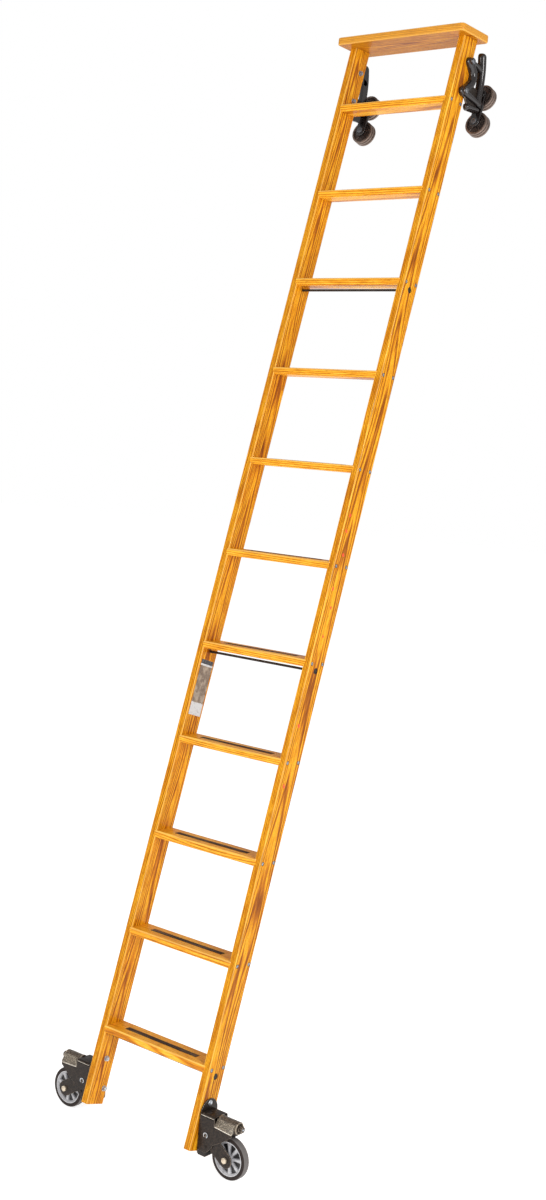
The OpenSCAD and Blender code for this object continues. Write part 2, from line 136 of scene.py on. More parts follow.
class Grain(Enum):
    """Direction that the wood's grain runs in, as the turn that brings it to local X."""

    ACROSS = (0.0, 0.0, 0.0)
    UP_THE_SLOPE = (LEAN, 0.0, 0.0)


# ---------- surfaces ----------


@dataclass
class Skin:
    """Mesh being built: points in millimetres, four-sided faces, end caps and wear.

    Wear is 1 where handling rubs the finish, which is along the edges, and 0 elsewhere. On some
    pieces it also marks a painted highlight, which their finish shows paler.
    """

    points: np.ndarray
    quads: np.ndarray
    caps: list[np.ndarray] = field(default_factory=list)
    wear: np.ndarray | None = None

    def wear_or_zero(self) -> np.ndarray:
        """Wear of every point, 0 where none was set."""
        return np.zeros(len(self.points)) if self.wear is None else self.wear


def joined(skins: Iterable[Skin]) -> Skin:
    """Puts several skins in one.

    Args:
        skins: the skins, each closed in itself.

    Returns:
        One skin with all their points and faces.
    """
    parts = list(skins)
    starts = np.cumsum([0] + [len(part.points) for part in parts[:-1]])
    return Skin(
        points=np.concatenate([part.points for part in parts]),
        quads=np.concatenate([part.quads + start for part, start in zip(parts, starts)]),
        caps=[cap + start for part, start in zip(parts, starts) for cap in part.caps],
        wear=np.concatenate([part.wear_or_zero() for part in parts]),
    )


def grid_quads(rows: int, columns: int, close_rows: bool, close_columns: bool) -> np.ndarray:
    """Faces of a grid of points numbered row by row.

    Args:
        rows: number of rows.
        columns: number of points in a row.
        close_rows: whether the last row joins the first.
        close_columns: whether each row's last point joins its first.

    Returns:
        Point numbers of the four corners of each face.
    """
    i = np.arange(rows if close_rows else rows - 1)[:, None]
    j = np.arange(columns if close_columns else columns - 1)[None, :]
    below, right = (i + 1) % rows, (j + 1) % columns
    corners = [i * columns + j, below * columns + j, below * columns + right, i * columns + right]
    return np.stack(np.broadcast_arrays(*corners), axis=-1).reshape(-1, 4)


def turned(
    profile: Sequence[Sequence[float]],
    plane: Plane,
    centre: Sequence[float] = (0.0, 0.0, 0.0),
    closed: bool = False,
    segments: int = 48,
    across_flats: float | None = None,
    worn: Sequence[float] | None = None,
) -> Skin:
    """Surface of revolution about the plane's depth direction.

    A point at angle a of the profile's station (r, h) is (r cos a, r sin a, h). Where
    across_flats is given, r is never more than half of it over the cosine of the angle to the
    nearest flat's middle, which cuts a six-sided nut out of the turned shape.

    Args:
        profile: stations (radius, place along the axis).
        plane: plane square to the axis.
        centre: where the profile's axis starts.
        closed: whether the profile's last station joins its first.
        segments: points round the axis, a multiple of 12.
        across_flats: width of a six-sided shape across its flats.
        worn: wear of each station.

    Returns:
        The surface; an open profile's ends on the axis are its poles.
    """
    stations = np.asarray(profile, float)
    angle = np.linspace(0, 2 * np.pi, segments, endpoint=False)
    radius = np.repeat(stations[:, :1], segments, axis=1)
    if across_flats is not None:
        from_flat = (angle + np.pi / 6) % (np.pi / 3) - np.pi / 6
        radius = np.minimum(radius, across_flats / 2 / np.cos(from_flat)[None, :])
    local = np.stack(
        [
            radius * np.cos(angle),
            radius * np.sin(angle),
            np.repeat(stations[:, 1:], segments, axis=1),
        ],
        axis=-1,
    ).reshape(-1, 3)
    points = np.empty_like(local)
    points[:, list(plane.value)] = local
    wear = None if worn is None else np.repeat(np.asarray(worn, float), segments)
    return Skin(
        points + np.asarray(centre, float),
        grid_quads(len(stations), segments, closed, True),
        wear=wear,
    )


def rounded_outline(
    corners: Sequence[Sequence[float]], radii: float | Sequence[float], steps: int = 5
) -> np.ndarray:
    """Closed outline whose corners are arcs.

    An arc of radius r touches both sides of its corner at r over the tangent of half the
    corner's angle. Its points turn evenly about its centre from one side to the other.

    Args:
        corners: the outline's corners in order.
        radii: radius of every corner, or of each one.
        steps: points in each arc.

    Returns:
        The outline's points, (corners x steps, 2).
    """
    place = np.asarray(corners, float)
    radius = np.broadcast_to(np.asarray(radii, float), len(place))[:, None]
    back = np.roll(place, 1, axis=0) - place
    on = np.roll(place, -1, axis=0) - place
    back /= np.linalg.norm(back, axis=1, keepdims=True)
    on /= np.linalg.norm(on, axis=1, keepdims=True)
    half = np.arccos(np.clip((back * on).sum(1, keepdims=True), -1, 1)) / 2
    middle = back + on
    middle /= np.linalg.norm(middle, axis=1, keepdims=True)
    centre = place + middle * radius / np.sin(half)
    first = place + back * radius / np.tan(half) - centre
    last = place + on * radius / np.tan(half) - centre
    sweep = (np.pi - 2 * half)[:, :, None]
    share = np.linspace(0, 1, steps)[None, :, None]
    arc = (
        np.sin((1 - share) * sweep) * first[:, None, :] + np.sin(share * sweep) * last[:, None, :]
    ) / np.sin(sweep)
    return (centre[:, None, :] + arc).reshape(-1, 2)


def capsule_outline(
    p: Sequence[float], q: Sequence[float], r: float, steps: int = 16
) -> np.ndarray:
    """Outline of a straight bar with half-round ends: half a turn about q, then about p.

    Args:
        p: centre of the first end.
        q: centre of the other end.
        r: radius of both ends.
        steps: points in each half turn.

    Returns:
        The outline's points.
    """
    start, end = np.asarray(p, float), np.asarray(q, float)
    heading = math.atan2(end[1] - start[1], end[0] - start[0])
    turn = np.linspace(-np.pi / 2, np.pi / 2, steps) + heading
    half = np.stack([np.cos(turn), np.sin(turn)], axis=1) * r
    return np.concatenate([end + half, start - half])


def inset(outline: np.ndarray, distance: float) -> np.ndarray:
    """Moves every side of an anticlockwise outline inwards, mitred at its corners."""
    edge = np.roll(outline, -1, axis=0) - outline
    edge /= np.linalg.norm(edge, axis=1, keepdims=True)
    normal = np.stack([edge[:, 1], -edge[:, 0]], axis=1)
    before = np.roll(normal, 1, axis=0)
    mitre = (normal + before) / (1 + (normal * before).sum(1, keepdims=True))
    return outline - distance * mitre


def slab(
    outline: np.ndarray,
    low: float,
    high: float,
    edge: float,
    plane: Plane,
    steps: int = 3,
) -> Skin:
    """Plate with rounded edges: a quarter-round profile carried round an outline.

    Station k of the profile is inset by edge times (1 - cos) and sits edge times (1 - sin) from
    the face. A last ring just inside each face keeps the face itself flat.

    Args:
        outline: the plate's shape, in the plane.
        low: its lower face along the plane's depth.
        high: its upper face.
        edge: radius of its edges.
        plane: plane that the outline lies in.
        steps: faces across each rounded edge.

    Returns:
        The closed plate.
    """
    area = np.sum(
        outline[:, 0] * np.roll(outline[:, 1], -1) - np.roll(outline[:, 0], -1) * outline[:, 1]
    )
    shape = outline if area > 0 else outline[::-1]
    turn = np.linspace(0, np.pi / 2, steps + 1)
    inward = np.concatenate([[edge * 1.35], edge * (1 - np.sin(turn))])
    height = np.concatenate([[0.0], edge * (1 - np.cos(turn))])
    depth = np.concatenate([low + height, high - height[::-1]])
    inward = np.concatenate([inward, inward[::-1]])
    rings = np.stack(
        [np.column_stack([inset(shape, d), np.full(len(shape), h)]) for d, h in zip(inward, depth)]
    )
    count = len(shape)
    local = rings.reshape(-1, 3)
    points = np.empty_like(local)
    points[:, list(plane.value)] = local
    flat = np.arange(count)
    worn = np.concatenate([[0.0], np.sin(2 * turn).clip(0) * 0.6 + 0.4])
    worn = np.concatenate([worn, worn[::-1]])
    return Skin(
        points,
        grid_quads(len(depth), count, False, True),
        caps=[flat[::-1], flat + count * (len(depth) - 1)],
        wear=np.repeat(worn, count),
    )


def smooth_path(knots: Sequence[Sequence[float]], steps: int) -> np.ndarray:
    """Curve through knots.

    Between two knots it is the cubic whose slope at each knot is half the step between the
    knot's neighbours.

    Args:
        knots: points that the curve passes through.
        steps: points between one knot and the next.

    Returns:
        The curve's points.
    """
    knot = np.asarray(knots, float)
    padded = np.concatenate([[2 * knot[0] - knot[1]], knot, [2 * knot[-1] - knot[-2]]])
    p0, p1, p2, p3 = (padded[k : len(padded) - 3 + k][:, None, :] for k in range(4))
    t = np.linspace(0, 1, steps, endpoint=False)[None, :, None]
    curve = p1 + 0.5 * t * (
        (p2 - p0) + t * ((2 * p0 - 5 * p1 + 4 * p2 - p3) + t * (3 * p1 - p0 - 3 * p2 + p3))
    )
    return np.concatenate([curve.reshape(-1, knot.shape[1]), knot[-1:]])


def oval(width: float, height: float, power: float = 2.0, count: int = 20) -> np.ndarray:
    """Closed section whose points satisfy |a / width|^power + |b / height|^power = 1.

    Args:
        width: half its width.
        height: half its height.
        power: 2 for an ellipse, more for a squarer shape.
        count: number of points.

    Returns:
        The section's points.
    """
    turn = np.linspace(0, 2 * np.pi, count, endpoint=False)
    c, s = np.cos(turn), np.sin(turn)
    return np.stack(
        [
            width * np.sign(c) * np.abs(c) ** (2 / power),
            height * np.sign(s) * np.abs(s) ** (2 / power),
        ],
        axis=1,
    )


def domed_section(width: float, height: float, power: float = 2.3, count: int = 15) -> np.ndarray:
    """Flat-backed section: the upper half of an oval, with its two ends on the flat."""
    turn = np.linspace(0, np.pi, count)
    c, s = np.cos(turn), np.sin(turn)
    return np.stack(
        [width * np.sign(c) * np.abs(c) ** (2 / power), height * np.abs(s) ** (2 / power)], axis=1
    )


def swept(
    path: np.ndarray,
    section: np.ndarray,
    up: Sequence[float],
    scale: np.ndarray | float = 1.0,
    closed: bool = False,
) -> Skin:
    """Section carried along a path.

    At each station the section's first direction is up crossed with the path's heading, and its
    second is the heading crossed with the first. Both are multiplied by the station's scale.

    Args:
        path: stations along the path.
        section: closed section.
        up: direction that the section's second direction stays nearest to.
        scale: one factor, one per station, or two per station.
        closed: whether the path's end joins its start.

    Returns:
        The closed bar.
    """
    if closed:
        heading = np.roll(path, -1, axis=0) - np.roll(path, 1, axis=0)
    else:
        heading = np.gradient(path, axis=0)
    heading /= np.linalg.norm(heading, axis=1, keepdims=True)
    across = np.cross(np.asarray(up, float), heading)
    across /= np.linalg.norm(across, axis=1, keepdims=True)
    rise = np.cross(heading, across)
    factor = np.broadcast_to(
        np.atleast_1d(scale).reshape(-1, 1 if np.ndim(scale) < 2 else 2), (len(path), 2)
    )
    points = (
        path[:, None, :]
        + (section[None, :, :1] * factor[:, None, :1]) * across[:, None, :]
        + (section[None, :, 1:] * factor[:, None, 1:]) * rise[:, None, :]
    )
    count = len(section)
    flat = np.arange(count)
    caps = [] if closed else [flat[::-1], flat + count * (len(path) - 1)]
    return Skin(points.reshape(-1, 3), grid_quads(len(path), count, closed, True), caps=caps)


def cast_bar(
    path: np.ndarray, width: np.ndarray | float, height: float, up: Sequence[float], dome: int = 6
) -> Skin:
    """Cast bar with a domed face and round ends.

    The domed section follows the path. Past each end it goes on by its half width times the sine
    of an angle, and shrinks by the angle's cosine, so the end is a quarter ball.

    Args:
        path: middle of the bar's flat back.
        width: half width at every station.
        height: height of the dome over the flat.
        up: direction that the dome faces.
        dome: faces along each round end.

    Returns:
        The closed bar.
    """
    half = np.broadcast_to(width, len(path)).astype(float)
    angle = np.linspace(np.pi / 2, 0, dome, endpoint=False)
    first = path[0] - path[1]
    last = path[-1] - path[-2]
    first, last = first / np.linalg.norm(first), last / np.linalg.norm(last)
    shrink = np.maximum(np.cos(angle), 0.02)
    stations = np.concatenate(
        [
            path[0] + half[0] * np.sin(angle)[:, None] * first,
            path,
            path[-1] + half[-1] * np.sin(angle[::-1])[:, None] * last,
        ]
    )
    across = np.concatenate([half[0] * shrink, half, half[-1] * shrink[::-1]])
    over = np.concatenate([shrink**0.6, np.ones(len(path)), shrink[::-1] ** 0.6]) * height
    bar = swept(stations, domed_section(1.0, 1.0), up, np.stack([across, over], axis=1))
    crest = np.abs(np.linspace(-1, 1, 15)) < 0.4
    bar.wear = np.tile(crest * 0.8, len(stations))
    return bar


def in_foot_frame(skin: Skin, side: Side) -> Skin:
    """Moves a skin from one side's foot frame to the row frame."""
    x, y, z = skin.points.T
    skin.points = np.stack([side.value * (HALF_W + x), FOOT_Y + y, z], axis=1)
    return skin


def in_plane_frame(skin: Skin, side: Side) -> Skin:
    """Moves a skin from one side's plane frame to the row frame: a turn by the lean about X."""
    x, n, u = skin.points.T
    c, s = math.cos(LEAN), math.sin(LEAN)
    skin.points = np.stack(
        [side.value * (HALF_W + x), FOOT_Y + n * c + u * s, u * c - n * s], axis=1
    )
    return skin


def edge_y(z: float) -> float:
    """Y of the stiles' front edge line at height z."""
    return FOOT_Y + z * math.tan(LEAN)


def make_piece(
    name: str,
    skin: Skin,
    material: bpy.types.Material,
    body: str,
    replaces: Sequence[str] = (),
) -> bpy.types.Object:
    """Turns a skin into a piece that rides on a body.

    Args:
        name: name of the piece.
        skin: its surface, in the row frame.
        material: its finish.
        body: CAD body that it moves with.
        replaces: CAD nodes that it is shown instead of.

    Returns:
        The piece's object, at the origin.
    """
    mesh = bpy.data.meshes.new(name)
    faces = skin.quads.tolist() + [cap.tolist() for cap in skin.caps]
    mesh.from_pydata((skin.points * MM).tolist(), [], faces)
    # The wear attribute: rub wear, and on some pieces a painted highlight.
    wear = mesh.attributes.new("wear", "FLOAT", "POINT")
    wear.data.foreach_set("value", skin.wear_or_zero().astype(np.float32))
    work = bmesh.new()
    work.from_mesh(mesh)
    bmesh.ops.remove_doubles(work, verts=work.verts, dist=MERGE_DISTANCE)
    bmesh.ops.dissolve_degenerate(work, edges=work.edges, dist=MERGE_DISTANCE)
    bmesh.ops.recalc_face_normals(work, faces=work.faces)
    work.to_mesh(mesh)
    work.free()
    mesh.shade_smooth()
    mesh.set_sharp_from_angle(angle=SMOOTH_ANGLE)
    mesh.materials.append(material)
    piece = bpy.data.objects.new(name, mesh)
    bpy.context.scene.collection.objects.link(piece)
    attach(piece, body)
    if replaces:
        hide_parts(*replaces)
    LOG.info("%s: %d faces on %s", name, len(mesh.polygons), body)
    return piece


def dress(nodes: Iterable[str], material: bpy.types.Material) -> None:
    """Gives CAD nodes that stay in view their finish."""
    for name in nodes:
        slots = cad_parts[name].data.materials
        slots.clear()
        slots.append(material)
        LOG.info("%s: CAD node in %s", name, material.name)


# ---------- shader maths ----------


class Signal:
    """Value on a socket of a material, which the usual operators combine with Math nodes."""

    def __init__(self, graph: Graph, socket: bpy.types.NodeSocket) -> None:
        """Wraps an output socket of a graph."""
        self.graph = graph
        self.socket = socket

    def math(
        self, operation: str, *others: Signal | float, first: Signal | float | None = None
    ) -> Signal:
        """Result of a Math node.

        Args:
            operation: the node's operation.
            others: its second and third value.
            first: its first value, this signal if None.

        Returns:
            The node's output.
        """
        values = (self if first is None else first, *others)
        settings = {"operation": operation}
        return self.graph.add("ShaderNodeMath", settings, dict(enumerate(values)))

    def __add__(self, other: Signal | float) -> Signal:
        """Sum."""
        return self.math("ADD", other)

    def __sub__(self, other: Signal | float) -> Signal:
        """Difference."""
        return self.math("SUBTRACT", other)

    def __mul__(self, other: Signal | float) -> Signal:
        """Product."""
        return self.math("MULTIPLY", other)

    def __truediv__(self, other: Signal | float) -> Signal:
        """Quotient."""
        return self.math("DIVIDE", other)

    def __pow__(self, other: Signal | float) -> Signal:
        """Power."""
        return self.math("POWER", other)

    def __rsub__(self, other: float) -> Signal:
        """Difference from a number."""
        return self.math("SUBTRACT", self, first=other)

    def __rtruediv__(self, other: float) -> Signal:
        """Number over this value."""
        return self.math("DIVIDE", self, first=other)

    __radd__ = __add__
    __rmul__ = __mul__

    def __abs__(self) -> Signal:
        """Size without its sign."""
        return self.math("ABSOLUTE")

    def sine(self) -> Signal:
        """Sine of an angle in radians."""
        return self.math("SINE")

    def root(self) -> Signal:
        """Square root."""
        return self.math("SQRT")

    def step(self, low: float, high: float) -> Signal:
        """Smooth step that is 0 at low and 1 at high, whichever of them is the greater."""
        settings = {"interpolation_type": "SMOOTHSTEP"}
        values = {"Value": self, "From Min": low, "From Max": high}
        return self.graph.add("ShaderNodeMapRange", settings, values)


class Graph:
    """Node tree of one material, with the few ways that nodes are added to it."""

    def __init__(self, name: str) -> None:
        """Starts an empty material."""
        self.material = bpy.data.materials.new(name)
        self.material.use_nodes = True
        self.tree = self.material.node_tree
        self.tree.nodes.clear()
        self.place: Signal | None = None

    def node(
        self,
        kind: str,
        settings: dict[str, Any] | None = None,
        values: dict[Any, Any] | None = None,
    ) -> bpy.types.Node:
        """Adds a node.

        Args:
            kind: the node's type.
            settings: its properties, set before its sockets.
            values: value or signal of each input, by its name or number.

        Returns:
            The node.
        """
        made = self.tree.nodes.new(kind)
        for key, value in (settings or {}).items():
            setattr(made, key, value)
        for key, value in (values or {}).items():
            if isinstance(value, Signal):
                self.tree.links.new(value.socket, made.inputs[key])
            else:
                made.inputs[key].default_value = value
        return made

    def add(
        self,
        kind: str,
        settings: dict[str, Any] | None = None,
        values: dict[Any, Any] | None = None,
        output: int | str = 0,
    ) -> Signal:
        """Adds a node and gives one of its outputs."""
        return Signal(self, self.node(kind, settings, values).outputs[output])

    def where(self) -> Signal:
        """Place on the object, in metres."""
        if self.place is None:
            self.place = self.add("ShaderNodeTexCoord", output="Object")
        return self.place

    def mapped(
        self,
        scale: Sequence[float] = (1, 1, 1),
        turn: Sequence[float] = (0, 0, 0),
        shift: Sequence[float] = (0, 0, 0),
        vector: Signal | None = None,
    ) -> Signal:
        """Place on the object after a Mapping node."""
        values = {
            "Vector": vector or self.where(), "Scale": scale, "Rotation": turn, "Location": shift
        }
        return self.add("ShaderNodeMapping", {"vector_type": "POINT"}, values)

    def noise(
        self,
        vector: Signal,
        scale: float,
        detail: float = 2.0,
        rough: float = 0.5,
        warp: float = 0.0,
    ) -> Signal:
        """Noise between 0 and 1."""
        values = {
            "Vector": vector,
            "Scale": scale,
            "Detail": detail,
            "Roughness": rough,
            "Distortion": warp,
        }
        return self.add("ShaderNodeTexNoise", None, values)

    def axes(self, vector: Signal) -> tuple[Signal, Signal, Signal]:
        """The three parts of a vector."""
        outputs = self.node("ShaderNodeSeparateXYZ", None, {0: vector}).outputs
        return Signal(self, outputs[0]), Signal(self, outputs[1]), Signal(self, outputs[2])

    def attribute(self, name: str) -> Signal:
        """Number that the mesh carries at each point."""
        return self.add("ShaderNodeAttribute", {"attribute_name": name}, output="Fac")

    def blend(self, share: Signal | float, first: Any, second: Any) -> Signal:
        """Mix of two colours.

        Args:
            share: how much of the second.
            first: first colour.
            second: second colour.

        Returns:
            The mixed colour.
        """
        settings = {"data_type": "RGBA", "blend_type": "MIX"}
        return self.add(
            "ShaderNodeMix", settings, {0: share, 6: colour(first), 7: colour(second)}, 2
        )

    def ramp(self, value: Signal, stops: Sequence[tuple[float, Sequence[float]]]) -> Signal:
        """Colour that a ramp gives for a value.

        Args:
            value: place along the ramp.
            stops: (place, colour) of each stop.

        Returns:
            The colour.
        """
        made = self.node("ShaderNodeValToRGB", None, {"Fac": value})
        bar = made.color_ramp
        while len(bar.elements) < len(stops):
            bar.elements.new(1.0)
        for element, (place, tint) in zip(bar.elements, stops):
            element.position = place
            element.color = colour(tint)
        return Signal(self, made.outputs["Color"])

    def bump(
        self, height: Signal, strength: float, distance: float, under: Signal | None = None
    ) -> Signal:
        """Normal after a Bump node."""
        values: dict[str, Any] = {"Height": height, "Strength": strength, "Distance": distance}
        if under is not None:
            values["Normal"] = under
        return self.add("ShaderNodeBump", None, values)

    def finish(self, **values: Any) -> bpy.types.Material:
        """Closes the graph with a Principled shader.

        Args:
            values: value or signal of each of its inputs, with _ for a space.

        Returns:
            The material.
        """
        named = {key.replace("_", " "): value for key, value in values.items()}
        shader = self.add("ShaderNodeBsdfPrincipled", None, named)
        self.node("ShaderNodeOutputMaterial", None, {"Surface": shader})
        return self.material


def colour(value: Any) -> Any:
    """A colour as four numbers; a signal is left as it is."""
    return value if isinstance(value, Signal) else (*value[:3], 1.0)


# ---------- finishes ----------


@dataclass(frozen=True)
class Oak:
    """Varnished plain-sawn oak with an amber gloss.

    The rings are cylinders about a line beside the board, which wanders along the grain, so their
    bands draw arches on the board's faces. Pores are short dark strokes along the grain. A pale
    line along each of the stiles' front corners is a painted highlight. Wherever a mesh says it is
    worn it is paler: rub wear on eased edges, and a painted highlight on the treads' nose crests.
    """

    name: str
    grain: Grain
    heart: tuple[float, float]
    ring: float = 0.0042
    light: tuple[float, float, float] = (0.88, 0.440, 0.020)
    warm: tuple[float, float, float] = (0.72, 0.280, 0.004)
    deep: tuple[float, float, float] = (0.50, 0.150, 0.002)
    dark: tuple[float, float, float] = (0.22, 0.052, 0.001)
    stroke: tuple[float, float, float] = (0.10, 0.024, 0.001)
    # Pale colour of rub wear and of the painted highlights.
    wear_and_highlight: tuple[float, float, float] = (1.0, 0.62, 0.16)
    contrast: float = 1.0

    def make(self) -> bpy.types.Material:
        """Builds the material.

        Returns:
            The oak material.
        """
        g = Graph(self.name)
        lie = g.mapped(turn=self.grain.value)
        x, y, z = g.axes(lie)
        sloping = self.grain is Grain.UP_THE_SLOPE
        length, wide, thick = (z, y, abs(x)) if sloping else (x, y, z)
        stretch = (1.0, 1.0, 0.05) if sloping else (0.05, 1.0, 1.0)
        along = g.mapped(stretch, vector=lie)
        drift = g.noise(g.mapped((0.5, 0.5, 0.5), vector=lie), 2.6, 1.0)
        sway = g.noise(along, 30.0, 2.0)
        off_wide = wide - self.heart[1] + (drift - 0.5) * 0.10
        off_thick = thick - self.heart[0]
        spread = (off_wide * off_wide + off_thick * off_thick).root()
        distance = spread + length * 0.012 + (sway - 0.5) * 0.012
        rings = (distance * (2 * math.pi / self.ring)).sine() * 0.5 + 0.5
        fibre = g.noise(along, 480.0, 3.0, 0.65)
        patch = g.noise(g.mapped((1.0, 1.0, 1.0)), 9.0, 2.0)
        pores = g.noise(along, 1000.0, 1.0, 0.5).step(0.56, 0.68) * (1 - rings * 0.6)
        fleck = g.noise(along, 260.0, 2.0, 0.6)
        tone = rings**2.2 * (0.46 * self.contrast) + (fibre - 0.5) * (0.58 * self.contrast)
        tone = tone + patch * 0.30 + (fleck - 0.5) * (0.72 * self.contrast)
        stops = [(0.04, self.light), (0.22, self.warm), (0.44, self.deep), (0.80, self.dark)]
        wood = g.ramp(tone, stops)
        wood = g.blend(pores * 0.55, wood, self.stroke)
        # The mesh's wear: rub wear on eased edges, and a painted highlight on the treads' nose
        # crests.
        rubbed = g.attribute("wear")
        if sloping:
            # Painted highlight: a pale line along each front corner of a stile, where its rounded
            # edge catches the light.
            from_front = wide - FOOT_Y * MM * math.cos(LEAN)
            for corner in (HALF_W * MM, (HALF_W - STILE_T) * MM):
                off_side = thick - corner
                from_corner = (off_side * off_side + from_front * from_front).root()
                rubbed = rubbed + (1 - from_corner.step(0.0012, 0.0042)) * 0.6
        # Blends in the pale colour: rub wear and painted highlight.
        wood = g.blend(rubbed * (0.35 + fibre * 0.6), wood, self.wear_and_highlight)
        relief = fibre * 0.5 - pores * 0.8
        return g.finish(
            Base_Color=wood,
            Roughness=0.36 + fibre * 0.10 + pores * 0.2,
            Normal=g.bump(relief, 0.22, 0.0006),
            Specular_IOR_Level=0.08,
            Coat_Weight=0.14,
            Coat_Roughness=0.10,
        )


@dataclass(frozen=True)
class PaintedSteel:
    """Dark enamel on steel, rubbed to brown metal along its edges and flecked by handling."""

    name: str
    paint: tuple[float, float, float] = (0.011, 0.0075, 0.0055)
    rubbed: tuple[float, float, float] = (0.36, 0.29, 0.23)
    rough: float = 0.36
    wear: float = 0.85
    lumps: float = 0.30
    shine: float = 0.22
    mottle: float = 1.0

    def make(self) -> bpy.types.Material:
        """Builds the material.

        Returns:
            The painted steel.
        """
        g = Graph(self.name)
        broad = g.noise(g.where(), 38.0, 4.0, 0.6)
        fine = g.noise(g.where(), 240.0, 3.0, 0.7)
        bare = g.attribute("wear") * self.wear + (
            (fine - 0.5) * 1.1 + (broad - 0.5) * 0.9
        ) * self.mottle
        bare = bare.step(0.46, 0.82)
        scuff = (
            g.noise(g.mapped((1, 1, 4)), 120.0, 3.0, 0.7).step(0.56, 0.70) * 0.6
        ) * self.mottle
        shade = g.blend(
            fine.step(0.44, 0.60), self.paint, tuple(3.0 * part for part in self.paint)
        )
        shade = g.blend(scuff, shade, tuple(6.5 * part for part in self.paint))
        shade = g.blend(bare * 0.75, shade, self.rubbed)
        return g.finish(
            Base_Color=shade,
            Metallic=bare * 0.75,
            Roughness=self.rough + (broad - 0.5) * 0.28 + scuff * 0.2,
            Specular_IOR_Level=self.shine,
            Normal=g.bump(broad * 0.6 + fine * 0.25, self.lumps, 0.0012),
        )


@dataclass(frozen=True)
class Plated:
    """Zinc-plated or dull brass-toned hardware with fine scratches and dull spots."""

    name: str
    bright: tuple[float, float, float] = (0.60, 0.64, 0.68)
    dull: tuple[float, float, float] = (0.28, 0.29, 0.31)
    rough: float = 0.32

    def make(self) -> bpy.types.Material:
        """Builds the material.

        Returns:
            The plated metal.
        """
        g = Graph(self.name)
        spots = g.noise(g.where(), 160.0, 4.0, 0.65)
        scratch = g.noise(g.mapped((1.0, 9.0, 1.0)), 700.0, 2.0, 0.6)
        return g.finish(
            Base_Color=g.blend(spots.step(0.35, 0.75), self.bright, self.dull),
            Metallic=0.85,
            Roughness=self.rough + (spots - 0.5) * 0.3 + scratch * 0.12,
            Normal=g.bump(spots * 0.5 + scratch * 0.5, 0.12, 0.0004),
        )


@dataclass(frozen=True)
class Rubber:
    """Black rubber, paler and dustier where it has run on the floor."""

    name: str
    black: tuple[float, float, float] = (0.030, 0.026, 0.024)
    dust: tuple[float, float, float] = (0.16, 0.145, 0.135)
    dusty: float = 0.5

    def make(self) -> bpy.types.Material:
        """Builds the material.

        Returns:
            The rubber.
        """
        g = Graph(self.name)
        cloud = g.noise(g.where(), 70.0, 4.0, 0.65)
        speck = g.noise(g.where(), 900.0, 2.0)
        dusted = (g.attribute("wear") * self.dusty + (cloud - 0.5) * 0.7).step(0.05, 0.62)
        return g.finish(
            Base_Color=g.blend(dusted * 0.85, self.black, self.dust),
            Roughness=0.62 + cloud * 0.2,
            Specular_IOR_Level=0.25,
            Normal=g.bump(speck * 0.5 + cloud * 0.5, 0.2, 0.0005),
        )


@dataclass(frozen=True)
class MouldedPlastic:
    """Cool grey moulded plastic with dirt in its hollows and a soft gloss. It is pale where the
    mesh's wear is high: rub wear on the rim's lips, painted highlight on the spokes' faces.
    """

    name: str
    grey: tuple[float, float, float] = (0.33, 0.325, 0.345)
    pale_highlight_and_wear: tuple[float, float, float] = (0.62, 0.615, 0.63)
    dirt: tuple[float, float, float] = (0.12, 0.10, 0.09)

    def make(self) -> bpy.types.Material:
        """Builds the material.

        Returns:
            The plastic.
        """
        g = Graph(self.name)
        cloud = g.noise(g.where(), 85.0, 4.0, 0.6)
        speck = g.noise(g.where(), 520.0, 3.0, 0.6)
        wear = g.attribute("wear")
        # Pale where the mesh's wear is high: rub wear, and painted highlight on the spokes' faces.
        shade = g.blend(wear, self.grey, self.pale_highlight_and_wear)
        shade = g.blend(
            (cloud.step(0.50, 0.80) + speck.step(0.62, 0.8) * 0.4) * 0.55, shade, self.dirt
        )
        return g.finish(
            Base_Color=shade,
            Roughness=0.36 + cloud * 0.22,
            Normal=g.bump(cloud * 0.6 + speck * 0.3, 0.12, 0.0006),
        )


@dataclass(frozen=True)
class Bronze:
    """Sintered bronze with small pores and an oily film."""

    name: str

    def make(self) -> bpy.types.Material:
        """Builds the material.

        Returns:
            The bronze.
        """
        g = Graph(self.name)
        pit = g.noise(g.where(), 1400.0, 2.0, 0.6).step(0.58, 0.72)
        oil = g.noise(g.where(), 120.0, 3.0)
        return g.finish(
            Base_Color=g.blend(pit * 0.8 + oil * 0.2, (0.50, 0.32, 0.13), (0.12, 0.07, 0.03)),
            Metallic=0.9,
            Roughness=0.36 + oil * 0.25,
            Normal=g.bump(pit, 0.2, 0.0003),
        )


@dataclass(frozen=True)
class GritStrip:
    """Dark non-slip tape with a mineral grit, paler along the middle where feet rub it."""

    name: str

    def make(self) -> bpy.types.Material:
        """Builds the material.

        Returns:
            The grit.
        """
        g = Graph(self.name)
        grain = g.add(
            "ShaderNodeTexVoronoi", {"feature": "F1"}, {"Vector": g.where(), "Scale": 1300.0}
        )
        sparkle = g.noise(g.where(), 2100.0, 1.0).step(0.62, 0.70)
        rubbed = g.noise(g.mapped((0.35, 1.5, 1.0)), 24.0, 4.0, 0.6).step(0.42, 0.68)
        shade = g.blend(rubbed * 0.7, (0.050, 0.032, 0.021), (0.17, 0.105, 0.060))
        shade = g.blend(sparkle * 0.5, shade, (0.30, 0.24, 0.20))
        return g.finish(
            Base_Color=shade,
            Roughness=0.86 - rubbed * 0.2,
            Specular_IOR_Level=0.10,
            Normal=g.bump(1 - grain, 0.7, 0.0006),
        )


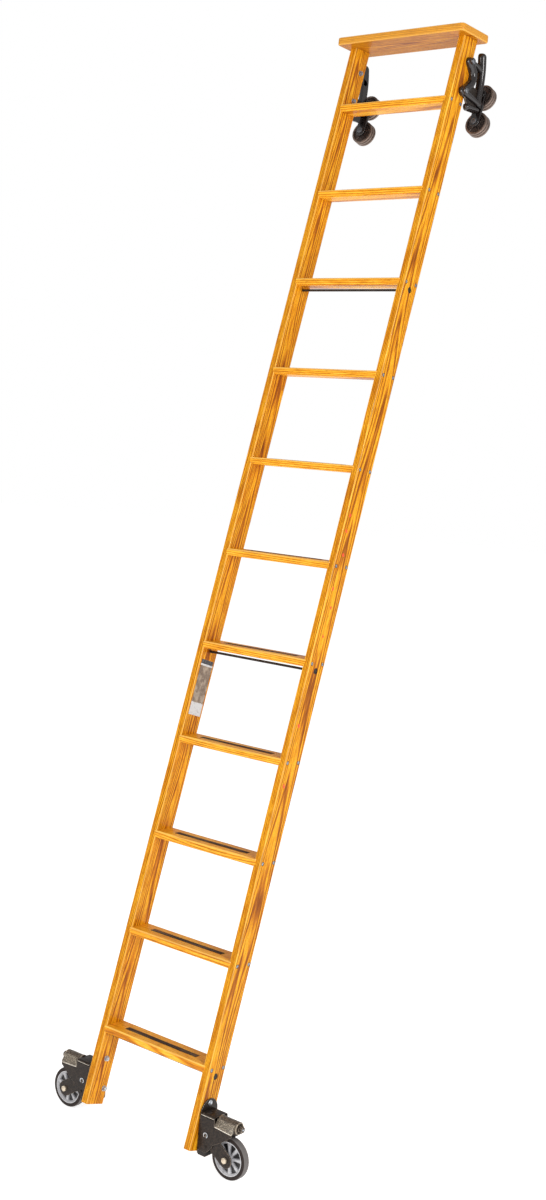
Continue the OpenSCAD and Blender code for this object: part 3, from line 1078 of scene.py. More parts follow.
@dataclass(frozen=True)
class LabelFilm:
    """Plain printed film: dark head, rubbed brown-grey field, white foot, no lettering."""

    name: str
    foot: float
    field_top: float
    head: float

    def make(self) -> bpy.types.Material:
        """Builds the material.

        Returns:
            The film.
        """
        g = Graph(self.name)
        _, _, up = g.axes(g.mapped(turn=(LEAN, 0, 0), shift=(0, 0, -FOOT_Y * MM * math.sin(LEAN))))
        rub = g.noise(g.where(), 46.0, 5.0, 0.65)
        fleck = g.noise(g.mapped((1, 1, 0.5)), 260.0, 3.0, 0.6)
        middle = g.blend(rub.step(0.40, 0.66), (0.16, 0.11, 0.075), (0.36, 0.29, 0.22))
        white = g.blend(fleck.step(0.52, 0.70) * 0.6, (0.58, 0.58, 0.58), (0.24, 0.23, 0.23))
        top = g.blend(fleck.step(0.5, 0.75) * 0.5, (0.03, 0.03, 0.035), (0.38, 0.38, 0.38))
        ragged = up + (rub - 0.5) * 0.012
        shade = g.blend(ragged.step(self.foot - 0.001, self.foot + 0.001), white, middle)
        shade = g.blend(up.step(self.field_top - 0.0008, self.field_top + 0.0008), shade, white)
        shade = g.blend(up.step(self.head - 0.0008, self.head + 0.0008), shade, top)
        return g.finish(
            Base_Color=shade,
            Roughness=0.30 + rub * 0.25,
            Normal=g.bump(rub, 0.15, 0.0005),
        )


@dataclass(frozen=True)
class PaintDab:
    """Thick red-orange paint, brushed on in dabs."""

    name: str

    def make(self) -> bpy.types.Material:
        """Builds the material.

        Returns:
            The paint.
        """
        g = Graph(self.name)
        thin = g.noise(g.where(), 330.0, 3.0, 0.6)
        return g.finish(
            Base_Color=g.blend(thin.step(0.45, 0.75), (0.80, 0.055, 0.012), (0.86, 0.20, 0.020)),
            Roughness=0.35 + thin * 0.2,
            Normal=g.bump(thin, 0.3, 0.0004),
        )


@dataclass(frozen=True)
class StudioFloor:
    """Pale floor of the studio."""

    name: str
    glow: float = 0.62

    def make(self) -> bpy.types.Material:
        """Builds the material.

        Returns:
            The floor's material.
        """
        g = Graph(self.name)
        tone = g.noise(g.where(), 0.8, 2.0)
        return g.finish(
            Base_Color=g.blend(tone, (0.90, 0.90, 0.90), (0.92, 0.92, 0.92)),
            Roughness=0.75,
            Specular_IOR_Level=0.2,
            Emission_Color=(1.0, 1.0, 1.0, 1.0),
            Emission_Strength=self.glow,
        )


@dataclass
class Finishes:
    """Every material of the ladder, made once."""

    stile: bpy.types.Material = field(init=False)
    tread: bpy.types.Material = field(init=False)
    top: bpy.types.Material = field(init=False)
    enamel: bpy.types.Material = field(init=False)
    barrel: bpy.types.Material = field(init=False)
    casting: bpy.types.Material = field(init=False)
    zinc: bpy.types.Material = field(init=False)
    screw: bpy.types.Material = field(init=False)
    slotted: bpy.types.Material = field(init=False)
    axle: bpy.types.Material = field(init=False)
    wire: bpy.types.Material = field(init=False)
    rubber: bpy.types.Material = field(init=False)
    tyre: bpy.types.Material = field(init=False)
    rim: bpy.types.Material = field(init=False)
    web: bpy.types.Material = field(init=False)
    saddle: bpy.types.Material = field(init=False)
    seam: bpy.types.Material = field(init=False)
    bronze: bpy.types.Material = field(init=False)
    roller: bpy.types.Material = field(init=False)
    grit: bpy.types.Material = field(init=False)
    label: bpy.types.Material = field(init=False)
    dab: bpy.types.Material = field(init=False)

    def __post_init__(self) -> None:
        """Makes the materials."""
        self.stile = Oak("oak_stile", Grain.UP_THE_SLOPE, (0.165, -0.495), contrast=1.25).make()
        self.tread = Oak(
            "oak_tread",
            Grain.ACROSS,
            (0.35, 0.10),
            ring=0.0062,
            light=(0.97, 0.53, 0.050),
            warm=(0.88, 0.38, 0.018),
            deep=(0.66, 0.22, 0.007),
            dark=(0.30, 0.080, 0.002),
        ).make()
        self.top = Oak(
            "oak_top_step",
            Grain.ACROSS,
            (3.50, 0.37),
            light=(0.72, 0.31, 0.014),
            warm=(0.58, 0.205, 0.004),
            deep=(0.40, 0.112, 0.002),
            dark=(0.17, 0.040, 0.001),
            wear_and_highlight=(0.86, 0.48, 0.10),
        ).make()
        self.enamel = PaintedSteel("dark_enamel").make()
        self.barrel = PaintedSteel(
            "barrel_enamel", paint=(0.050, 0.039, 0.030), rubbed=(0.52, 0.44, 0.34), rough=0.28
        ).make()
        self.casting = PaintedSteel(
            "cast_iron_black",
            paint=(0.006, 0.0042, 0.004),
            rubbed=(0.15, 0.11, 0.09),
            rough=0.15,
            wear=0.45,
            lumps=0.06,
            shine=0.70,
            mottle=0.5,
        ).make()
        # Near-white weld metal: painted highlight along the welded seams.
        self.seam = Plated("highlit_weld_metal", (0.86, 0.80, 0.70), (0.34, 0.28, 0.22), 0.34).make()
        self.zinc = Plated("zinc_plate").make()
        self.slotted = Plated("slotted_steel", (0.44, 0.47, 0.52), (0.16, 0.17, 0.19), 0.40).make()
        self.screw = Plated("screw_steel", (0.22, 0.23, 0.25), (0.06, 0.06, 0.065), 0.42).make()
        self.axle = Plated("axle_bolt_tan", (0.74, 0.64, 0.50), (0.36, 0.28, 0.20), 0.38).make()
        self.wire = Plated("spring_wire", (0.42, 0.40, 0.38), (0.12, 0.10, 0.09), 0.36).make()
        self.rubber = Rubber("black_rubber", dusty=0.2).make()
        self.tyre = Rubber("tyre_rubber", (0.022, 0.015, 0.013), (0.17, 0.155, 0.15), 0.75).make()
        self.rim = MouldedPlastic("rim_plastic").make()
        # Painted shade: near-black plastic for the web behind the spokes, which stands for the
        # shadow there.
        self.web = MouldedPlastic(
            "shadow_dark_web_plastic", (0.016, 0.014, 0.014), (0.03, 0.028, 0.028), (0.008, 0.006, 0.005)
        ).make()
        self.saddle = PaintedSteel(
            "saddle_steel",
            paint=(0.085, 0.070, 0.052),
            rubbed=(0.62, 0.54, 0.43),
            rough=0.34,
            shine=0.5,
            mottle=1.5,
        ).make()
        self.bronze = Bronze("bush_bronze").make()
        self.roller = PaintedSteel(
            "roller_iron",
            paint=(0.022, 0.016, 0.014),
            rubbed=(0.30, 0.22, 0.18),
            rough=0.36,
            wear=0.9,
        ).make()
        self.grit = GritStrip("grip_grit").make()
        self.label = LabelFilm("label_film", 1.372, 1.494, 1.500).make()
        self.dab = PaintDab("paint_dab").make()


# ---------- small hardware ----------


def rod(
    low: float, high: float, r: float, plane: Plane, centre: Sequence[float], chamfer: float = 0.8
) -> Skin:
    """Round bar with chamfered ends, along the plane's depth."""
    c = min(chamfer, r * 0.4)
    profile = [(0, low), (r - c, low), (r, low + c), (r, high - c), (r - c, high), (0, high)]
    return turned(profile, plane, centre, segments=36, worn=[0, 0.8, 0.8, 0.8, 0.8, 0])


def disc(low: float, high: float, r: float, plane: Plane, centre: Sequence[float]) -> Skin:
    """Washer-like disc with eased edges."""
    return rod(low, high, r, plane, centre, chamfer=min(0.5, (high - low) / 3))


def hexagon(low: float, high: float, flats: float, plane: Plane, centre: Sequence[float]) -> Skin:
    """Nut or bolt head: a six-sided prism whose corners are cut by a cone at both faces."""
    corner = flats / 2 / math.cos(math.pi / 6)
    cut = (corner - flats / 2) * 0.6
    profile = [
        (0, low),
        (flats / 2 * 0.97, low),
        (corner, low + cut),
        (corner, high - cut),
        (flats / 2 * 0.97, high),
        (0, high),
    ]
    worn = [0, 0.9, 0.7, 0.7, 0.9, 0]
    return turned(profile, plane, centre, segments=48, across_flats=flats, worn=worn)


def bolt_head(head_x: float, centre: Sequence[float]) -> Skin:
    """Domed head: its radius falls as the cosine and its height grows as the sine of one angle."""
    turn = np.linspace(0, np.pi / 2, 7)
    dome = np.stack([9 * np.cos(turn), head_x + 0.8 + 3.7 * np.sin(turn)], axis=1)
    profile = np.concatenate([[[0, head_x], [8.6, head_x]], dome])
    wear = np.concatenate([[0, 0.4], np.linspace(0.5, 0.9, 7)])
    return turned(profile, Plane.YZ, centre, segments=36, worn=wear)


def bolt_and_nut(head_x: float, centre: Sequence[float]) -> Skin:
    """Shank from under the head, through the stile to a washer and nut on its inner face."""
    inner, washer, nut = -STILE_T, 1.6, 6.5
    return joined(
        [
            rod(inner - washer - nut - 3, head_x + 1, 4, Plane.YZ, centre),
            disc(inner - washer, inner, 9, Plane.YZ, centre),
            hexagon(inner - washer - nut, inner - washer, 13, Plane.YZ, centre),
        ]
    )


def slotted_head(
    face: float, centre: tuple[float, float], angle: float, r: float, plane: Plane
) -> Skin:
    """Countersunk head: a round base and two half discs that leave a slot between them.

    Args:
        face: depth of the head's flat face.
        centre: the screw's axis.
        angle: direction of the slot.
        r: radius of the head.
        plane: plane square to the screw.

    Returns:
        The head.
    """
    slot = 0.7
    limit = math.acos(slot / r)
    turn = np.linspace(-limit, limit, 12)
    half = np.stack([r * np.cos(turn), r * np.sin(turn)], axis=1)
    c, s = math.cos(angle), math.sin(angle)
    spin = np.array([[c, s], [-s, c]])
    base_centre = np.zeros(3)
    base_centre[list(plane.value)[:2]] = centre
    halves = [
        slab(sign * half @ spin + np.asarray(centre), face - 1.6, face, 0.25, plane, steps=1)
        for sign in (1, -1)
    ]
    base = turned(
        [(0, face - 2.4), (r * 0.7, face - 2.4), (r - 0.1, face - 1.2), (0, face - 1.2)],
        plane,
        base_centre,
        segments=24,
    )
    return joined([*halves, base])


# ---------- the ladder ----------


@dataclass
class Woodwork:
    """Stiles, treads, top step and what is fixed to them."""

    finishes: Finishes
    tread_t: float = 24.0
    tread_d: float = 81.0
    nose: float = 4.0
    nose_r: float = 7.0
    back_r: float = 2.5
    housed: float = 6.0
    top_under: float = 3555.0
    top_t: float = 25.0
    top_nose: float = 51.0
    top_d: float = 164.0
    top_l: float = 503.5
    top_corner: float = 14.0
    screw_r: float = 5.0
    screw_places: tuple[tuple[float, float], ...] = ((9.0, 12.0), (64.0, 16.0))
    cap_screws: tuple[float, ...] = (21.0, 58.0)
    dab_heights: tuple[int, ...] = (1977, 1927, 1852, 1746, 1686, 1597, 1320, 1136)

    def build(self) -> None:
        """Makes and dresses every piece."""
        dress(("stile_left", "stile_right"), self.finishes.stile)
        dress(("grip_strips",), self.finishes.grit)
        dress(("label",), self.finishes.label)
        dress(("tie_rods",), self.finishes.enamel)
        for k in range(1, TREADS + 1):
            self.tread(k)
        self.top_step()
        self.tread_screws()
        self.top_screws()
        self.paint_dabs()

    def tread(self, k: int) -> None:
        """Makes tread k: its section, round at the nose, drawn out across the ladder."""
        z, y = k * RISE, edge_y(k * RISE) - self.nose
        corners = [
            (y, z - self.tread_t),
            (y + self.tread_d, z - self.tread_t),
            (y + self.tread_d, z),
            (y, z),
        ]
        outline = rounded_outline(corners, [self.nose_r, self.back_r, self.back_r, self.nose_r], 9)
        half = INNER_W / 2 + self.housed
        skin = slab(outline, -half, half, 0.4, Plane.YZ, steps=1)
        # Painted highlight: wear rises along the nose's top front edge, and the oak shows it
        # paler.
        crest = np.hypot(skin.points[:, 1] - y - 1.6, skin.points[:, 2] - z + 1.6)
        skin.wear = np.clip(1.6 - crest / 2.4, 0, 1)
        make_piece(
            f"tread_board_{k:02d}", skin, self.finishes.tread, "ladder", [f"tread_{k:02d}"]
        )

    def top_step(self) -> None:
        """Makes the top step: a board with round corners and eased edges."""
        half = self.top_l / 2
        front = edge_y(self.top_under) - self.top_nose
        corners = [
            (-half, front),
            (half, front),
            (half, front + self.top_d),
            (-half, front + self.top_d),
        ]
        outline = rounded_outline(corners, self.top_corner, 9)
        skin = slab(outline, self.top_under, self.top_under + self.top_t, 4.5, Plane.XY, steps=5)
        make_piece("top_step_board", skin, self.finishes.top, "ladder", ["top_step"])

    def tread_screws(self) -> None:
        """Makes the slotted screws that show on the stiles' outer faces, each turned by chance,
        and a dark ring of painted shadow round each head.
        """
        rng = np.random.default_rng(11)
        r = self.screw_r
        skins, rings = [], []
        for k in range(1, TREADS + 1):
            z = k * RISE
            for side in Side:
                for back, drop in self.screw_places:
                    centre = (edge_y(z) + back, z - drop)
                    head = slotted_head(0.0, centre, rng.uniform(0, np.pi), self.screw_r, Plane.YZ)
                    shank = rod(-46.0, -2.0, 2.2, Plane.YZ, (0, *centre))
                    skin = joined([head, shank])
                    skin.points[:, 0] = side.value * (HALF_W - 0.1 + skin.points[:, 0])
                    skins.append(skin)
                    # Painted shadow: a dark enamel ring round each head stands for the
                    # countersink's shadow.
                    rim = [
                        (r + 0.2, -0.6),
                        (r + 1.5, -0.6),
                        (r + 1.5, 0.10),
                        (r + 1.2, 0.25),
                        (r + 0.2, 0.05),
                    ]
                    ring = turned(rim, Plane.YZ, (0, *centre), closed=True, segments=28)
                    ring.points[:, 0] = side.value * (HALF_W + ring.points[:, 0])
                    rings.append(ring)
        make_piece(
            "slotted_tread_screws",
            joined(skins),
            self.finishes.slotted,
            "ladder",
            ["tread_screws"],
        )
        make_piece("countersink_shadow_rings", joined(rings), self.finishes.enamel, "ladder")

    def top_screws(self) -> None:
        """Makes the screws that go down through the top step."""
        rng = np.random.default_rng(5)
        face = self.top_under + self.top_t - 0.1
        skins = []
        for side in Side:
            for back in self.cap_screws:
                centre = (side.value * (HALF_W - STILE_T / 2), edge_y(self.top_under) + back)
                head = slotted_head(face, centre, rng.uniform(0, np.pi), 6.0, Plane.XY)
                shank = rod(face - 69, face - 2, 2.2, Plane.XY, (*centre, 0))
                skins.append(joined([head, shank]))
        make_piece(
            "slotted_top_screws",
            joined(skins),
            self.finishes.screw,
            "ladder",
            ["top_step_screws"],
        )

    def paint_dabs(self) -> None:
        """Makes the dabs on the right stile: low domes whose rims wander with the angle."""
        rng = np.random.default_rng(3)
        skins = []
        for z in self.dab_heights:
            turn = np.linspace(0, 2 * np.pi, 28, endpoint=False)
            phase = rng.uniform(0, 2 * np.pi, 3)
            ragged = 1 + 0.16 * np.sin(2 * turn + phase[0]) + 0.10 * np.sin(3 * turn + phase[1])
            ragged += 0.06 * np.sin(5 * turn + phase[2])
            share = np.linspace(0, 1, 6)[:, None]
            reach = share * ragged
            size = rng.uniform(4.2, 6.0)
            back = rng.uniform(17, 40)
            x = HALF_W - 0.15 + 0.55 * np.sqrt(np.maximum(0, 1 - share**2)) * np.ones_like(reach)
            y = edge_y(z) + back + size * reach * np.cos(turn)
            up = z + size * 1.25 * reach * np.sin(turn)
            points = np.stack([x, y, up], axis=-1).reshape(-1, 3)
            rim = np.arange(28) + 28 * 5
            skins.append(Skin(points, grid_quads(6, 28, False, True), caps=[rim[::-1]]))
        make_piece("paint_dabs", joined(skins), self.finishes.dab, "ladder")


@dataclass
class Wheel:
    """Floor wheel: rubber tyre, moulded rim with petal spokes, bush."""

    finishes: Finishes
    side: Side
    tyre_r: float = 63.5
    tyre_half: float = 12.5
    rim_r: float = 51.0
    inner_r: float = 44.0
    hub_r: float = 15.0
    bore_r: float = 9.0
    hub_half: float = 18.0
    spokes: int = 8

    @property
    def centre(self) -> tuple[float, float, float]:
        """Middle of the wheel, in the foot frame."""
        return (HUB_X, HUB_Y, self.tyre_r)

    def build(self) -> None:
        """Makes and dresses every piece."""
        self.tyre()
        self.rim()
        dress((f"bush_{self.side.word}",), self.finishes.bronze)

    def tyre(self) -> None:
        """Makes the tyre.

        Its section is a squared oval, flat inside the rim: the half width goes as a power of the
        cosine and the height as a power of the sine. Two shallow grooves run round the tread.
        """
        turn = np.linspace(0, np.pi, 41)
        wide = self.tyre_half * np.sign(np.cos(turn)) * np.abs(np.cos(turn)) ** 0.42
        high = self.rim_r + (self.tyre_r - self.rim_r) * np.sin(turn) ** 0.42
        groove = np.exp(-(((np.abs(wide) - 5.0) / 0.7) ** 2))
        high = np.where(high > self.tyre_r - 1.5, high - 0.7 * groove, high)
        profile = np.stack([high, wide], axis=1)
        worn = np.clip((high - self.rim_r - 9.5) / 2.5, 0, 1)
        skin = turned(profile, Plane.XZ, self.centre, closed=True, segments=120, worn=worn)
        make_piece(
            f"tyre_ring_{self.side.word}",
            in_foot_frame(skin, self.side),
            self.finishes.tyre,
            f"wheel_{self.side.word}",
            [f"tyre_{self.side.word}"],
        )

    def spoke(self, angle: float) -> Skin:
        """One petal spoke.

        It runs from the hub to the ring. Its half width grows with the square of the distance
        from the hub, and its half depth shrinks evenly.

        Args:
            angle: direction of the spoke.

        Returns:
            The spoke about the wheel's middle.
        """
        share = np.linspace(0, 1, 12)
        reach = self.hub_r - 2 + share * (self.inner_r + 2.5 - self.hub_r + 2)
        path = np.zeros((len(share), 3))
        path[:, 0] = self.centre[0] + reach * math.cos(angle)
        path[:, 1] = self.centre[1]
        path[:, 2] = self.centre[2] + reach * math.sin(angle)
        half_width = 4.6 + 1.2 * (1 - share) ** 4 + 4.6 * share**2.0
        half_depth = 8.6 - 1.4 * share
        skin = swept(
            path, oval(1, 1, 2.6, 20), (0, 1, 0), np.stack([half_width, half_depth], axis=1)
        )
        # Painted highlight: the spoke's front and back faces are marked worn so the plastic shows
        # them pale; the flanks stay grey as painted shade.
        skin.wear = np.tile(
            np.abs(np.sin(np.linspace(0, 2 * np.pi, 20, endpoint=False))) ** 4, 12
        ) * 0.8
        return skin

    def rim(self) -> None:
        """Makes the ring with its lips, the spokes, the hub and the thin web behind the spokes."""
        half = self.tyre_half
        ring = [
            (self.rim_r, -half + 0.2),
            (self.rim_r - 1.8, -half + 0.0),
            (self.rim_r - 2.4, -half + 1.8),
            (self.inner_r + 0.8, -half + 4.4),
            (self.inner_r, -half + 5.6),
            (self.inner_r - 0.6, 0.0),
            (self.inner_r, half - 5.6),
            (self.inner_r + 0.8, half - 4.4),
            (self.rim_r - 2.4, half - 1.8),
            (self.rim_r - 1.8, half - 0.0),
            (self.rim_r, half - 0.2),
        ]
        # Pale on the lips, darker on the inner face between the spokes: rub wear on the lips,
        # painted shade on the inner face.
        ring_wear_and_light = [1, 1, 0.5, 0.7, 0.3, 0, 0.3, 0.7, 0.5, 1, 1]
        hub = [
            (self.bore_r, -self.hub_half),
            (self.hub_r - 2.0, -self.hub_half),
            (self.hub_r - 0.8, -self.hub_half + 1.2),
            (self.hub_r, -self.hub_half + 9),
            (self.hub_r, self.hub_half - 9),
            (self.hub_r - 0.8, self.hub_half - 1.2),
            (self.hub_r - 2.0, self.hub_half),
            (self.bore_r, self.hub_half),
        ]
        angles = np.arange(self.spokes) * 2 * np.pi / self.spokes + 0.12
        skin = joined(
            [
                turned(ring, Plane.XZ, self.centre, closed=True, segments=96, worn=ring_wear_and_light),
                turned(hub, Plane.XZ, self.centre, closed=True, segments=48),
                *[self.spoke(float(angle)) for angle in angles],
            ]
        )
        # The web's near-black finish is painted shade behind the spokes.
        web = [
            (self.hub_r - 1, -2.0),
            (self.inner_r + 0.5, -2.0),
            (self.inner_r + 0.5, 2.0),
            (self.hub_r - 1, 2.0),
        ]
        make_piece(
            f"rim_web_{self.side.word}",
            in_foot_frame(turned(web, Plane.XZ, self.centre, closed=True, segments=72), self.side),
            self.finishes.web,
            f"wheel_{self.side.word}",
        )
        make_piece(
            f"petal_rim_{self.side.word}",
            in_foot_frame(skin, self.side),
            self.finishes.rim,
            f"wheel_{self.side.word}",
            [f"rim_{self.side.word}"],
        )


@dataclass
class FootFixture:
    """Sprung wheel fixture at the foot of one stile."""

    finishes: Finishes
    side: Side
    cheek: tuple[float, float] = (46.0, 49.0)
    back: float = 107.0
    hood_x: float = 61.0
    barrel_x: tuple[float, float] = (62.0, 133.0)
    barrel_z: float = 161.0
    barrel_r: float = 18.5
    pivot: tuple[float, float] = PIVOT
    plate_y: float = PLATE_Y
    plate_r: float = 38.0
    plate_z: tuple[float, float] = (48.0, 207.0)
    arm_r: float = 24.0
    wheel_r: float = 63.5
    rod_travel: float = 8.8
    spring_x: tuple[float, float] = (66.0, 124.0)
    cheek_corners: tuple[tuple[float, float], ...] = (
        (4.0, 62.0),
        (4.0, 174.0),
        (60.0, 174.0),
        (61.0, 153.0),
        (128.0, 145.0),
        (128.0, 140.0),
        (97.0, 116.0),
        (61.0, 93.0),
        (54.0, 80.0),
        (36.0, 62.0),
    )

    def piece(
        self, name: str, skin: Skin, look: str, body: str, slot: str, nodes: Sequence[str] = ()
    ) -> bpy.types.Object:
        """Makes a piece of this side from a skin in the foot frame.

        Args:
            name: start of the piece's name.
            skin: its surface.
            look: field of the finishes that dresses it.
            body: start of the name of its body, or ladder.
            slot: not used.
            nodes: starts of the names of the nodes that it replaces.

        Returns:
            The piece.
        """
        word = self.side.word
        return make_piece(
            f"{name}_{word}",
            in_foot_frame(skin, self.side),
            getattr(self.finishes, look),
            body if body == "ladder" else f"{body}_{word}",
            [f"{node}_{word}" for node in nodes],
        )

    def build(self) -> None:
        """Makes and dresses every piece."""
        self.mount_plate()
        self.housing()
        self.barrel()
        self.arm()
        self.axle()
        self.draw_rod()
        self.spring()

    def mount_plate(self) -> None:
        """Makes the plate on the stile, with a round top."""
        low, high = self.plate_z
        turn = np.linspace(0, np.pi, 25)
        arch = np.stack(
            [
                self.plate_y + self.plate_r * np.cos(turn),
                high - self.plate_r + self.plate_r * np.sin(turn),
            ],
            axis=1,
        )
        foot = rounded_outline(
            [(self.plate_y - self.plate_r, 90), (self.plate_y - self.plate_r, low),
             (self.plate_y + self.plate_r, low), (self.plate_y + self.plate_r, 90)],
            3.0, 4,
        )[4:12]
        outline = np.concatenate([arch, foot])
        skin = slab(outline, 0.0, 4.0, 0.9, Plane.YZ)
        self.piece("arched_plate", skin, "enamel", "ladder", "dark_steel", ["mount_plate"])

    def roof(self) -> Skin:
        """The folded roof.

        Its section is a strip of sheet that rises from one cheek, turns through a quarter circle,
        crosses and comes down to the other cheek. It is drawn out along x.

        Returns:
            The roof.
        """
        front, back, top, fold, sheet = self.cheek[0], self.back, 178.0, 7.0, 3.0
        turn = np.linspace(0, np.pi / 2, 7)

        def over(r: float) -> np.ndarray:
            """Outline of the sheet's face whose fold has radius r."""
            left = np.stack(
                [front + fold - r * np.cos(turn), top - fold + r * np.sin(turn)], axis=1
            )
            right = np.stack(
                [back - fold + r * np.sin(turn), top - fold + r * np.cos(turn)], axis=1
            )
            foot = np.array([[front + fold - r, 168.0]]), np.array([[back - fold + r, 168.0]])
            return np.concatenate([foot[0], left, right, foot[1]])

        outline = np.concatenate([over(fold), over(fold - sheet)[::-1]])
        return slab(outline, 4.0, self.hood_x - 1, 0.5, Plane.YZ, steps=2)

    def weld(self, start: Sequence[float], end: Sequence[float], r: float = 1.5) -> Skin:
        """Weld bead: a round bar whose radius swells and shrinks evenly along it. Its whole
        surface is marked worn, so its finish shows it pale as a painted highlight.
        """
        count = 90
        share = np.linspace(0, 1, count)[:, None]
        path = np.asarray(start, float) * (1 - share) + np.asarray(end, float) * share
        swell = 1 + 0.22 * np.sin(share[:, 0] * np.pi * count / 5) ** 2
        ends = np.sqrt(np.clip(1 - (2 * share[:, 0] - 1) ** 20, 0.01, 1))
        bead = swept(path, oval(r, r, 2.0, 8), (0.1, 0.2, 1), swell * ends)
        # Painted highlight: the whole bead is marked worn, so its finish shows it pale.
        bead.wear = np.full(len(bead.points), 1.0)
        return bead

    def housing(self) -> None:
        """Makes the cheeks, roof and web, the saddles that hold the barrel, and the weld beads."""
        radii = [1.5, 1.5, 1.5, 3.0, 2.0, 2.0, 6.0, 8.0, 6.0, 5.0]
        outline = rounded_outline(self.cheek_corners, radii, 5)
        front, back = self.cheek
        mirror = 2 * HUB_Y
        saddle = rounded_outline(
            [(front, 146), (front, 152), (60, 174), (66, 170), (back, 146)], 0.5, 3
        )
        flipped = np.stack([mirror - saddle[:, 0], saddle[:, 1]], axis=1)
        web = rounded_outline(
            [(front + 0.5, 62), (self.back - 0.5, 62), (self.back - 0.5, 65), (front + 0.5, 65)],
            0.6,
            3,
        )
        parts = [
            slab(outline, front, back, 0.8, Plane.XZ),
            slab(outline, mirror - back, mirror - front, 0.8, Plane.XZ),
            self.roof(),
            slab(web, 4.0, 36.0, 0.5, Plane.YZ, steps=1),
            self.weld((4.8, front + 2.0, 66.0), (4.8, front + 2.0, 172.0)),
            self.weld((4.8, self.back - 2.0, 66.0), (4.8, self.back - 2.0, 172.0)),
        ]
        self.piece("folded_housing", joined(parts), "enamel", "ladder", "dark_steel", ["housing"])
        saddles = [
            slab(saddle, self.hood_x, 128.0, 0.6, Plane.YZ, steps=2),
            slab(flipped, self.hood_x, 128.0, 0.6, Plane.YZ, steps=2),
        ]
        self.piece("barrel_saddles", joined(saddles), "saddle", "ladder", "barrel_steel")
        seams = []
        for y in (front + 0.3, self.back - 0.3):
            seams.append(self.weld((self.hood_x, y, 151.0), (127.0, y, 147.2), 1.7))
            seams.append(self.weld((7.0, y, 171.4), (self.hood_x - 2, y, 171.4), 0.9))
        self.piece("welded_seams", joined(seams), "seam", "ladder", "dark_steel")

    def barrel(self) -> None:
        """Makes the barrel: a deep cup with a rolled lip and a collar, and the shoe's pad."""
        x0, x1 = self.barrel_x
        r, wall = self.barrel_r, 3.5
        turn = np.linspace(-np.pi / 2, np.pi / 2, 7)
        lip = np.stack([r - 1.6 + 1.6 * np.cos(turn), x1 - 1.6 + 1.6 * np.sin(turn)], axis=1)
        cup = np.concatenate(
            [
                [
                    [3.4, x0],
                    [r + 1.0, x0],
                    [r + 1.6, x0 + 0.8],
                    [r + 1.6, x0 + 5.2],
                    [r, x0 + 6.2],
                ],
                [[r, x1 - 6.0], [r - 0.7, x1 - 5.2], [r - 0.7, x1 - 4.0]],
                lip,
                [[r - wall, x1 - 1.0], [r - wall, x0 + 4.0], [3.4, x0 + 4.0]],
            ]
        )
        # Wear on the collar and the rolled lip: rub wear, and a painted highlight where they catch
        # the light.
        worn = [0.2, 0.5, 0.9, 0.7, 0.2, 0.3, 0.2, 0.4] + [1.0] * 7 + [0.6, 0.1, 0.1]
        axis = (0.0, HUB_Y, self.barrel_z)
        pad = rounded_outline(
            [(92, HUB_Y - 12), (128, HUB_Y - 12), (128, HUB_Y + 12), (92, HUB_Y + 12)], 2.0, 4
        )
        floor = self.barrel_z - r
        skin = joined(
            [
                turned(cup, Plane.YZ, axis, closed=True, segments=72, worn=worn),
                slab(pad, floor, floor + 8.5, 0.5, Plane.XY, steps=2),
            ]
        )
        self.piece("rolled_barrel", skin, "barrel", "ladder", "barrel_steel", ["barrel"])

    def arm(self) -> None:
        """Makes both plates, the pivot tube and the notched leg."""
        pivot, hub = self.pivot, (HUB_X, self.wheel_r)
        outline = capsule_outline(pivot, hub, self.arm_r)
        leg_x = (pivot[0] - 3.0, pivot[0] + 3.0)
        leg = rounded_outline(
            [
                (HUB_Y - 10, 112),
                (HUB_Y + 10, 112),
                (HUB_Y + 10, 171),
                (HUB_Y + 3.8, 171),
                (HUB_Y + 3.8, 157.2),
                (HUB_Y - 3.8, 157.2),
                (HUB_Y - 3.8, 171),
                (HUB_Y - 10, 171),
            ],
            [1, 1, 2.5, 1.2, 2.5, 2.5, 1.2, 2.5],
            4,
        )
        tube = [(5.1, 51.0), (9.0, 51.0), (9.0, 101.0), (5.1, 101.0)]
        boss = [(5.1, 49.4), (8.6, 49.4), (9.4, 50.2), (9.4, 50.6), (5.1, 50.6)]
        skin = joined(
            [
                slab(outline, 50.0, 54.0, 1.0, Plane.XZ),
                slab(outline, 99.0, 103.0, 1.0, Plane.XZ),
                turned(tube, Plane.XZ, (pivot[0], 0, pivot[1]), closed=True),
                turned(boss, Plane.XZ, (pivot[0], 0, pivot[1]), closed=True),
                slab(leg, *leg_x, 0.7, Plane.YZ),
            ]
        )
        self.piece("wheel_arm", skin, "enamel", "arm", "dark_steel", ["arm"])

    def axle(self) -> None:
        """Makes the axle bolt, and dresses its spacers."""
        centre = (HUB_X, 0, self.wheel_r)
        skin = joined(
            [
                rod(47.0, 114.0, 5.0, Plane.XZ, centre),
                hexagon(44.0, 49.2, 17.0, Plane.XZ, centre),
                disc(49.0, 50.0, 8.4, Plane.XZ, centre),
                hexagon(103.0, 111.0, 17.0, Plane.XZ, centre),
            ]
        )
        self.piece("axle_hex_bolt", skin, "axle", "arm", "axle_bolt", ["axle_bolt"])
        dress((f"axle_spacers_{self.side.word}",), self.finishes.zinc)

